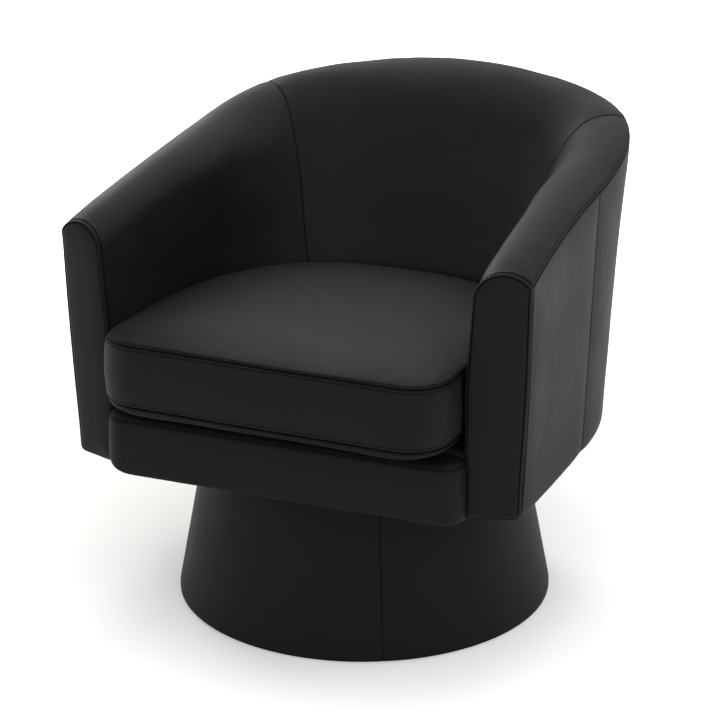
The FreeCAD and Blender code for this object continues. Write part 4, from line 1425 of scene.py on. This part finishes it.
@dataclass
class SeatDeck:
    """Elastic webbing, felt and dark cloth under the loose cushion, all pitched with the seat."""

    shop: Workshop
    sizes: TubSizes
    front_y: float = -0.282
    frame_width: float = 0.046
    top_z: float = 0.345
    strap_width: float = 0.048
    strap: float = 0.0014
    strap_edge: float = 0.009
    straps: int = 5
    felt: float = 0.008
    cloth: float = 0.001
    clearance: float = 0.003
    waves: float = 0.0008
    rounding: float = 0.002

    def half_at(self, y: float, inset: float) -> float:
        """Half width of the seat well at a place along it."""
        half, _, end_y, back_y, squareness = self.sizes.well
        if y <= end_y:
            return half - inset
        along = min(1.0, (y - end_y) / (back_y - inset - end_y))
        return (half - inset) * (1.0 - along ** squareness) ** (1.0 / squareness)

    def back_at(self, x: float, inset: float) -> float:
        """Rear end of the seat well at a place across it."""
        half, _, end_y, back_y, squareness = self.sizes.well
        across = min(1.0, abs(x) / (half - inset))
        return end_y + (back_y - inset - end_y) * (1.0 - across ** squareness) ** (1.0 / squareness)

    def strap_set(self, name: str, node: str, crosswise: bool) -> None:
        """Make the straps that run one way, with their thicker woven edges."""
        top = self.top_z + self.strap * (2 if crosswise else 1)
        back_y = self.sizes.well[3]
        if crosswise:
            width, middle = back_y - self.front_y - 2 * self.frame_width, (self.front_y + back_y) / 2
        else:
            width, middle = 2 * (self.sizes.well[0] - self.frame_width), 0.0
        joined = bmesh.new()
        area = 0.0
        for step in range(self.straps):
            centre = middle + width * ((step + 0.5) / self.straps - 0.5)

            def place(u: float, v: float) -> Vector:
                """Point of one strap, which ends on the seat frame."""
                side = centre + self.strap_width * (u - 0.5)
                if crosswise:
                    reach = self.half_at(side, self.strap_edge)
                    return pitched(Vector((reach * (2 * v - 1), side, top)))
                start = self.front_y + self.strap_edge
                along = start + (self.back_at(side, self.strap_edge) - start) * v
                return pitched(Vector((side, along, top)))

            stops = graded(self.strap_width, 0.0015, 0.006), graded(0.5, 0.004, 0.02)
            sheet = Sheet(name, *stops, place, Vector((0.0, 0.0, 3.0)))
            sheet.raise_by(lambda spot, edge: -0.0002 * (1.0 - bell(min(edge.start, edge.end), 0.002)))
            area += sheet.area()
            piece = bpy.data.meshes.new(name)
            sheet.mesh.to_mesh(piece)
            sheet.mesh.free()
            joined.from_mesh(piece)
            bpy.data.meshes.remove(piece)
        thing = object_from(name, joined)
        thicken(thing, self.strap - 0.0001)
        self.shop.dress(thing, Body.TUB, Slot.WEBBING, [node])
        across = self.straps * self.strap_width
        self.shop.pulled_over(thing, (across, area / across, area), "seat_frame")

    def layer(self, name: str, low: float, thickness: float, tuck: float, set_back: float) -> Sheet:
        """Grow a sheet that fills the seat well, with its right side up.

        Args:
            name: Name of the piece.
            low: Height of its underside before the seat is pitched.
            thickness: Thickness of the layer.
            tuck: How far its front edge turns down.
            set_back: How far its front edge lies behind the front rail.

        Returns:
            The sheet.
        """

        def place(u: float, v: float) -> Vector:
            """Point of the layer, with rows closer together towards the back."""
            start = self.front_y + set_back
            back = self.sizes.well[3] - self.clearance
            y = start + (back - start) * math.sin(v * math.pi / 2)
            x = self.half_at(y, self.clearance) * (2 * u - 1)
            return pitched(Vector((x, y, low + thickness - (tuck if v == 0.0 else 0.0))))

        def relief(spot: Vector, edge: EdgeDistances) -> float:
            """Gentle waves that die away at the rounded edges."""
            near = min(edge.start, edge.end, edge.top, edge.bottom)
            wave = self.waves * (1.0 - bell(near, 0.01)) * (0.5 + 0.5 * noise(spot * 11.0))
            return -wave - 0.2 * thickness * bell(near, self.rounding)

        across = graded(0.52, 0.002, 0.012)
        down = [0.0, 0.0004, 0.002, 0.006] + [step / 60 for step in range(1, 60)] + [0.9990]
        sheet = Sheet(name, across, down, place, Vector((0.0, 0.0, 3.0)))
        sheet.raise_by(relief)
        return sheet

    def build(self) -> None:
        """Make the straps, the felt and the cloth."""
        self.strap_set("seat_straps_long", "long_webbing", False)
        self.strap_set("seat_straps_cross", "cross_webbing", True)
        low = self.top_z + 2 * self.strap
        felt = self.layer("seat_felt", low, self.felt, 0.0, 0.0022).finish(self.felt - 0.0012, 0)
        self.shop.dress(felt, Body.TUB, Slot.FELT, ["deck_felt"], fill=0.9)
        cover = self.layer("seat_deck_cloth", low + self.felt, self.cloth, 0.0115, 0.0006)
        area = cover.area()
        cloth = cover.finish(self.cloth * 0.8, 0)
        self.shop.dress(cloth, Body.TUB, Slot.CLOTH, ["deck_cloth"])
        self.shop.pulled_over(cloth, (0.526, 0.454, area), "seat_felt")


@dataclass
class DustCover:
    """Thin black cloth stapled under the tub, cut out round the swivel plate."""

    shop: Workshop
    wall: TubWall
    edge: float = 0.018
    rail_half: float = 0.246
    rail_back_y: float = -0.282
    hole_half: float = 0.0925
    cloth: float = 0.0008
    sag: float = 0.00025
    steps: int = 90
    rings: int = 12

    def outline(self) -> Line:
        """Plan points of half the cloth, from the middle of the back to the middle of the front."""
        floor_z = self.wall.sizes.floor_z
        half = []
        for cut in reversed(self.wall.cuts[::4]):
            x, y, _ = cut.place(cut.hem_in + cut.hem_flat + self.edge, floor_z)
            half.append((max(0.0, x), y))
        front = self.wall.cuts[0]
        x, y, _ = front.place(front.well_in, floor_z)
        side, rear = self.rail_half, self.rail_back_y
        return half + [(x, y), (side, y), (side, rear), (0.0, rear)]

    def build(self) -> None:
        """Make the cloth from rings between its outline and the square hole."""
        half = even_points(self.outline(), self.steps)
        around = np.concatenate([half[:-1], half[::-1][:-1] * [-1.0, 1.0]])
        count = len(around)

        def place(u: float, v: float) -> Vector:
            """Point between the cloth's outline and its hole, sagging a little."""
            x, y = around[round(u * count) % count]
            scale = self.hole_half / max(abs(x), abs(y))
            sag = self.sag * noise(Vector((x * 9.0, y * 9.0, v * 2.0))) * math.sin(math.pi * v)
            share = 1.0 + (scale - 1.0) * v
            return Vector((x * share, y * share, self.wall.sizes.floor_z - self.cloth - abs(sag)))

        across = [step / count for step in range(count + 1)]
        down = [step / self.rings for step in range(self.rings + 1)]
        sheet = Sheet("tub_dust_cloth", across, down, place, Vector((0.0, 0.0, -3.0)))
        sheet.merge()
        area = sheet.area()
        thing = sheet.finish(self.cloth - 0.0003, 0)
        self.shop.dress(thing, Body.TUB, Slot.CLOTH, ["dust_cover"])
        self.shop.pulled_over(thing, (0.62, 0.56, area), "tub_floor_board")


class SeamLoop:
    """Closed line round a cushion's seam, read by the distance along it."""

    REACH = 0.004

    def __init__(self, points: Line, marks: Sequence[int]) -> None:
        """Measure the line.

        Args:
            points: Points of the line, the last one on the first.
            marks: Numbers of the points at its four corners.
        """
        self.axes = np.array(points).T
        self.travelled = travelled_along(points)
        self.corners = [self.travelled[mark] for mark in marks] + [self.travelled[-1]]

    def plan_at(self, wanted: float) -> list[float]:
        """Plan point at a distance along the line."""
        return [float(np.interp(wanted, self.travelled, axis)) for axis in self.axes]

    def read(self, side: int, part: float) -> tuple[Vector, Vector]:
        """Point and outward direction at a share of the way along one side."""
        wanted = self.corners[side] + (self.corners[side + 1] - self.corners[side]) * part
        x, y = self.plan_at(wanted)
        ahead = self.plan_at((wanted + self.REACH) % self.travelled[-1])
        behind = self.plan_at((wanted - self.REACH) % self.travelled[-1])
        outward = Vector((ahead[1] - behind[1], behind[0] - ahead[0], 0.0))
        return Vector((x, y, 0.0)), outward.normalized()

    def around(self, a: float, b: float, ring: float) -> tuple[Vector, Vector]:
        """Point and outward direction for a place on a square ring of the cushion's cells."""
        if b <= -ring + TINY:
            return self.read(0, (a / ring + 1) / 2)
        if a >= ring - TINY:
            return self.read(1, (b / ring + 1) / 2)
        if b >= ring - TINY:
            return self.read(2, (1 - a / ring) / 2)
        return self.read(3, (1 - b / ring) / 2)


def resampled(stops: Sequence[float], count: int) -> np.ndarray:
    """Stops read at another number of even steps."""
    return np.interp(np.linspace(0, 1, count + 1), np.linspace(0, 1, len(stops)), stops)


StitchRows = dict[tuple[int, int], list[tuple[float, float, bmesh.types.BMVert]]]


@dataclass
class SeatCushion:
    """Loose box cushion: a crowned top, boxed sides between two stitched seams and a rounded underside."""

    shop: Workshop
    half_width: float = 0.2592
    front_y: float = -0.377
    back_y: float = 0.154
    corner: float = 0.060
    corner_steps: int = 24
    straight_end_y: float = -0.200
    squareness: float = 2.6
    back_steps: int = 128
    floor_z: float = 0.3573
    low_seam_z: float = 0.383
    high_seam_z: float = 0.470
    crown_z: float = 0.497
    crown_reach: float = 0.150
    crown_round_share: float = 0.42
    belly_reach: float = 0.090
    bulge: float = 0.0034
    slim: float = 0.0070
    groove: float = 0.0017
    groove_width: float = 0.0022
    groove_in_share: float = 0.9
    groove_down_share: float = 0.4
    stitch_distance: float = 0.0045
    # width of the painted shade along the topstitching beside each seam
    stitch_shade_width: float = 0.0010
    skew: float = 0.0085
    cells: int = 60

    def corner_points(self, centre_x: float, first: float, steps: Iterable[int]) -> Line:
        """Points round a front corner, from an angle on."""
        centre_y = self.front_y + self.corner
        angles = [first + math.pi / 2 * step / self.corner_steps for step in steps]
        return [(centre_x + self.corner * math.cos(a), centre_y + self.corner * math.sin(a)) for a in angles]

    def loop(self) -> SeamLoop:
        """Line round the widest seam, from the middle of one front corner and back to it."""
        inner = self.half_width - self.corner
        middle = self.corner_steps // 2
        depth = self.back_y - self.straight_end_y
        points = self.corner_points(-inner, math.pi, range(middle + 1, self.corner_steps + 1))
        marks = [0, len(points) + middle]
        points += self.corner_points(inner, -math.pi / 2, range(self.corner_steps + 1))
        for step in range(1, self.back_steps):
            angle = math.pi * step / self.back_steps
            if step in (self.back_steps // 4, self.back_steps * 3 // 4):
                marks.append(len(points))
            across = math.copysign(abs(math.cos(angle)) ** (2 / self.squareness), math.cos(angle))
            along = depth * math.sin(angle) ** (2 / self.squareness)
            points.append((self.half_width * across, self.straight_end_y + along))
        points += self.corner_points(-inner, math.pi, range(middle + 1))
        return SeamLoop(points, marks)

    def on_border(self, rim: Vector, outward: Vector, height: float) -> tuple[Vector, float]:
        """Point of the boxing and its distance from the nearer seam.

        Args:
            rim: Plan point of the seam beside it.
            outward: Direction away from the cushion there.
            height: Share of the way up the boxing.

        Returns:
            The point and the distance.
        """
        span = self.high_seam_z - self.low_seam_z
        near = min(height, 1.0 - height) * span
        swell = self.bulge * (1.0 - (2.0 * height - 1.0) ** 2)
        spot = rim + outward * (swell - self.groove * bell(near, self.groove_width))
        spot.z = self.low_seam_z + span * height
        return spot, near

    def on_panel(self, rim: Vector, outward: Vector, inset: float, top: bool) -> tuple[Vector, float]:
        """Point of the top or the bottom panel and its distance from the seam.

        Args:
            rim: Plan point of the seam beside it.
            outward: Direction away from the cushion there.
            inset: Share of the way from the seam to the middle.
            top: Whether it is on the top panel.

        Returns:
            The point and the distance.
        """
        spot = rim.lerp(Vector((0.0, (self.front_y + self.back_y) / 2, 0.0)), inset)
        near = (rim - spot).length
        part = 1.0 - min(1.0, near / (self.crown_reach if top else self.belly_reach))
        full = math.sqrt(max(0.0, 1.0 - part ** 2))
        share = self.crown_round_share
        rise = share * full + (1.0 - share) * (1.0 - part ** 2) if top else full
        seam_z, end_z = (self.high_seam_z, self.crown_z) if top else (self.low_seam_z, self.floor_z)
        dip = self.groove * bell(near, self.groove_width)
        spot -= outward * dip * self.groove_in_share
        spot.z = seam_z + (end_z - seam_z) * rise + (-dip if top else dip) * self.groove_down_share
        return spot, near

    def build(self) -> None:
        """Make the cushion from a cube of many cells, each of whose vertices is put on the cushion."""
        loop = self.loop()
        half = self.cells // 2
        rings = graded(0.52, 0.0012, 0.013)
        insets = resampled([stop * 2 for stop in rings[: len(rings) // 2]], half)
        heights = resampled(graded(0.087, 0.0009, 0.004, 1.3), self.cells)
        mesh = bmesh.new()
        bmesh.ops.create_cube(mesh, size=2.0)
        bmesh.ops.subdivide_edges(mesh, edges=mesh.edges[:], cuts=self.cells - 1, use_grid_fill=True)
        seam_shade_layer = mesh.verts.layers.float.new(SEAM_SHADE_LAYER)
        rows: StitchRows = {}
        for vertex in mesh.verts:
            a, b, c = vertex.co
            ring = max(abs(a), abs(b))
            rim, outward = Vector((self.half_width, 0.0, 0.0)), Vector((0.0, 0.0, 0.0))
            if ring >= TINY:
                rim, outward = loop.around(a, b, ring)
            if abs(c) < 1.0 - TINY:
                spot, near = self.on_border(rim, outward, float(heights[round((c + 1) / 2 * self.cells)]))
            else:
                inset = float(insets[half - round(ring * half)] / insets[-1])
                spot, near = self.on_panel(rim, outward, inset, c > 0.0)
            # painted shade along both seams, and fainter along the topstitching beside them
            stitched = 0.5 * bell(near - self.stitch_distance, self.stitch_shade_width)
            vertex[seam_shade_layer] = max(bell(near, SEAM_SHADE_WIDTH), stitched)
            if 0.0005 < near < 0.012:
                row = (round(c * self.cells), round(ring * half))
                rows.setdefault(row, []).append((math.atan2(b, a), near, vertex))
            vertex.co = spot
        mesh.normal_update()
        normals = [vertex.normal.copy() for vertex in mesh.verts]
        for vertex, normal in zip(mesh.verts, normals):
            vertex.co = self.settle(vertex.co + normal * self.softness(vertex.co, vertex[seam_shade_layer]))
        bmesh.ops.recalc_face_normals(mesh, faces=mesh.faces[:])
        lines = self.stitch_lines(rows)
        thing = object_from("seat_cushion_leather", mesh)
        smooth_over(thing, 1)
        nodes = ["cushion_core", "cushion_top_panel", "cushion_border_panel", "cushion_bottom_panel"]
        self.shop.dress(thing, Body.CUSHION, Slot.LEATHER, nodes, fill=0.85)
        thread = Stitching("cushion_thread")
        cloth = surface_of(thing)
        for line in lines:
            thread.sew(line, cloth)
        thread.finish(self.shop, Body.CUSHION)

    def stitch_lines(self, rows: StitchRows) -> list[list[Vector]]:
        """Closed lines through the rows of vertices nearest the stitching, on both sides of both seams.

        Args:
            rows: For each row of vertices round the cushion, their angle, distance from the seam and
                vertex.

        Returns:
            Points of each line.
        """
        best: dict[tuple[bool, bool], tuple[float, list[Vector]]] = {}
        for (height, _), found in rows.items():
            miss = abs(sum(near for _, near, _ in found) / len(found) - self.stitch_distance)
            key = (abs(height) == self.cells, height > 0)
            if key not in best or miss < best[key][0]:
                ordered = [vertex.co.copy() for _, _, vertex in sorted(found, key=lambda entry: entry[0])]
                best[key] = (miss, ordered + ordered[:1])
        return [line for _, line in best.values()]

    def softness(self, spot: Vector, seam: float) -> float:
        """Small waves and gathers of the leather, stronger where the cushion stands free in front."""
        free = min(1.0, max(0.0, (-0.24 - spot.y) / 0.06))
        above = min(1.0, max(0.0, (spot.z - 0.462) / 0.02))
        near_seam = bell(min(abs(spot.z - self.high_seam_z), abs(spot.z - self.low_seam_z)), 0.014)
        wave = 0.0011 * waves(spot, 9.0, 9.0, 16.0)
        gather = 0.0009 * waves(spot, 60.0, 60.0, 14.0) * near_seam * (1.0 - seam)
        return max(free, above) * (wave + gather)

    def settle(self, spot: Vector) -> Vector:
        """Skew the free front a little, as it lies in the photograph, and pitch it with the seat."""
        free = min(1.0, max(0.0, (-0.20 - spot.y) / 0.17)) ** 2
        across = spot.x / self.half_width
        sideways = self.slim * free * (1.0 - across) / 2.0
        return pitched(Vector((spot.x + sideways, spot.y - self.skew * across * free, spot.z)))


@dataclass
class ConeCover:
    """Leather of the conical base in two halves."""

    shop: Workshop
    foot_radius: float = 0.2815
    neck_radius: float = 0.2335
    height: float = 0.250
    floor_z: float = 0.003
    seam_degrees: float = 27.9
    seam_lap_angle: float = 0.006
    swell: float = 0.0009
    swell_fade: float = 0.02
    groove: float = 0.0008
    groove_width: float = 0.0025
    turned_edge: float = 0.0010
    turned_edge_width: float = 0.004

    def relief(self, spot: Vector, edge: EdgeDistances) -> float:
        """How far the leather stands off the former: sunk at its seams and its turned edges."""
        near = min(edge.start, edge.end)
        lift = self.swell * (1.0 - bell(near, self.swell_fade)) - self.groove * bell(near, self.groove_width)
        for distance in (edge.bottom, edge.top):
            lift -= self.turned_edge * bell(distance, self.turned_edge_width)
        return lift + 0.0003 * noise(spot * 16.0)

    def build(self) -> None:
        """Make both halves with their upright seams and turned lower hem."""
        across = graded(0.80, 0.0011, 0.016)
        down = graded(0.247, 0.0012, 0.014)
        for turned, side in ((0.0, "front"), (180.0, "back")):
            start = math.radians(self.seam_degrees - 90.0 + turned)
            middle = start + math.pi / 2

            def place(u: float, v: float) -> Vector:
                """Point of the slope of the cone, from its neck down to its hem."""
                angle = start + math.pi * u + self.seam_lap_angle * (u - 0.5)
                z = self.height + (self.floor_z - self.height) * v
                radius = self.foot_radius + (self.neck_radius - self.foot_radius) * z / self.height
                return Vector((radius * math.cos(angle), radius * math.sin(angle), z))

            eye = Vector((3 * math.cos(middle), 3 * math.sin(middle), 0.3))
            sheet = Sheet(f"base_wrap_{side}", across, down, place, eye)
            sheet.raise_by(self.relief)
            # painted shade along the upright seams and the turned lower hem
            sheet.mark_seams(lambda edge: min(edge.start, edge.end, edge.bottom))
            flat = sheet.flat_size()
            thing = sheet.finish(LEATHER_THICKNESS)
            self.shop.dress(thing, Body.BASE, Slot.LEATHER, [f"base_cover_{side}"])
            self.shop.pulled_over(thing, flat, "base_former")


@dataclass
class Studio:
    """Camera of the photograph, a pale floor and plain soft light."""

    # place, size and watts of each soft box
    BOXES = {
        "top_box": ((-0.3, 0.2, 3.0), (2.6, 2.2), 37.0),
        "top_back_box": ((0.0, 2.2, 2.4), (2.6, 1.6), 22.0),
        "right_back_box": ((2.4, 2.2, 1.6), (1.8, 1.8), 16.0),
        "left_back_box": ((-2.4, 2.0, 1.8), (1.8, 1.8), 50.0),
        "front_left_box": ((-2.0, -3.0, 1.0), (1.6, 1.6), 2.0),
        "right_front_box": ((2.4, -2.2, 2.0), (1.6, 1.6), 17.0),
    }

    camera_place: tuple[float, float, float] = (1.34917, -3.22020, 1.66436)
    azimuth: float = 22.8048
    elevation: float = 20.5170
    roll: float = -0.3125
    lens: float = 126.03
    shift: tuple[float, float] = (-0.00067, -0.00043)
    aim: tuple[float, float, float] = (0.0, 0.0, 0.4)
    lamp_colour: tuple[float, float, float] = (1.0, 0.985, 0.945)
    world_strength: float = 0.55
    floor_colour: str = "#e6e6e6"
    # centre of the painted shadow on the floor, where the floor's glow is weakest
    shade_centre: tuple[float, float, float] = (-0.25, 0.36, 0.0)

    def camera(self) -> None:
        """Stand the camera where the photograph was taken."""
        a, e, k = (math.radians(value) for value in (self.azimuth, self.elevation, self.roll))
        back = Vector((math.sin(a) * math.cos(e), -math.cos(a) * math.cos(e), math.sin(e)))
        level = Vector((math.cos(a), math.sin(a), 0.0))
        rise = Vector((-math.sin(a) * math.sin(e), math.cos(a) * math.sin(e), math.cos(e)))
        right = level * math.cos(k) + rise * math.sin(k)
        up = rise * math.cos(k) - level * math.sin(k)
        data = bpy.data.cameras.new("photo_camera")
        data.lens = self.lens
        data.sensor_width = 36.0
        data.shift_x, data.shift_y = self.shift
        data.clip_end = 60.0
        thing = put_in_scene("photo_camera", data)
        turn = Matrix((right, up, back)).transposed().to_4x4()
        thing.matrix_world = Matrix.Translation(self.camera_place) @ turn
        bpy.context.scene.camera = thing

    def lamp(self, name: str, place: Vector, aim: Vector, size: tuple[float, float], watts: float) -> None:
        """Hang a soft box that points at a place."""
        data = bpy.data.lights.new(name, "AREA")
        data.shape = "RECTANGLE"
        data.size, data.size_y = size
        data.energy = watts
        data.color = self.lamp_colour
        turn = (place - aim).to_track_quat("Z", "Y").to_matrix().to_4x4()
        put_in_scene(name, data).matrix_world = Matrix.Translation(place) @ turn

    def lights(self) -> None:
        """Light the chair softly from above and from both sides."""
        for name, (place, size, watts) in self.BOXES.items():
            self.lamp(name, Vector(place), Vector(self.aim), size, watts)

    def world(self) -> None:
        """White surroundings: full white where they are seen, plain where they light the chair."""
        world = bpy.data.worlds.new("studio_white")
        bpy.context.scene.world = world
        world.use_nodes = True
        tree = world.node_tree
        tree.nodes.clear()
        seen = self.seen_directly(tree)
        strength = add_node(
            tree, "ShaderNodeMapRange", {"To Min": self.world_strength, "To Max": 1.0}, {"Value": seen}
        )
        light = add_node(
            tree, "ShaderNodeBackground", {"Color": linear("#ffffff")}, {"Strength": strength.outputs[0]}
        )
        add_node(tree, "ShaderNodeOutputWorld", links={"Surface": light.outputs[0]})

    def seen_directly(self, tree: bpy.types.NodeTree) -> bpy.types.NodeSocket:
        """1 for rays from the camera and for mirrored or transmitted ones, 0 for the rest."""
        path = add_node(tree, "ShaderNodeLightPath")
        seen = path.outputs["Is Camera Ray"]
        for ray in ("Is Glossy Ray", "Is Transmission Ray"):
            links = {0: seen, 1: path.outputs[ray]}
            seen = add_node(tree, "ShaderNodeMath", {"operation": "MAXIMUM"}, links).outputs[0]
        return seen

    def floor(self) -> None:
        """Lay a pale floor that turns to plain white away from the chair, with a painted shadow where its
        glow is held back round a point behind the chair.
        """
        mesh = bmesh.new()
        bmesh.ops.create_circle(mesh, cap_ends=True, segments=96, radius=24.0)
        thing = object_from("studio_floor", mesh)
        material, tree, place = new_material("paper_matt_white")
        away = add_node(
            tree, "ShaderNodeVectorMath", {"operation": "DISTANCE", 1: self.shade_centre}, {0: place}
        )
        # painted shadow: the glow seen directly and in reflections is nothing at the shade centre and full
        # white 1.55 m from it, so the floor is darker round it than its light alone makes it
        far = add_node(
            tree,
            "ShaderNodeMapRange",
            {"From Min": 0.07, "From Max": 1.55, "interpolation_type": "SMOOTHSTEP"},
            {"Value": away.outputs["Value"]},
        )
        links = {0: far.outputs[0], 1: self.seen_directly(tree)}
        shown = add_node(tree, "ShaderNodeMath", {"operation": "MULTIPLY"}, links)
        glow = add_node(
            tree, "ShaderNodeEmission", {"Color": linear("#ffffff")}, {"Strength": shown.outputs[0]}
        )
        paper = add_node(tree, "ShaderNodeBsdfDiffuse", {"Color": linear(self.floor_colour)})
        both = add_node(tree, "ShaderNodeAddShader", links={0: paper.outputs[0], 1: glow.outputs[0]})
        close_material(tree, both)
        thing.data.materials.append(material)

    def build(self) -> None:
        """Set up the whole studio."""
        bpy.context.scene.view_settings.view_transform = "Standard"
        self.camera()
        self.lights()
        self.world()
        self.floor()


def main() -> None:
    """Build the chair's looks, piece by piece."""
    logging.basicConfig(level=logging.INFO, format="%(name)s: %(message)s")
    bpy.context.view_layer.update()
    Studio().build()
    shop = Workshop()
    shop.dress_nodes()
    wall = TubWall(TubSizes())
    covers = TubCovers(wall, shop)
    covers.outside()
    covers.inside()
    covers.arm_fronts()
    covers.thread()
    FrontRail(shop).build()
    SeatDeck(shop, wall.sizes).build()
    DustCover(shop, wall).build()
    SeatCushion(shop).build()
    ConeCover(shop).build()


if __name__ == "__main__":
    main()
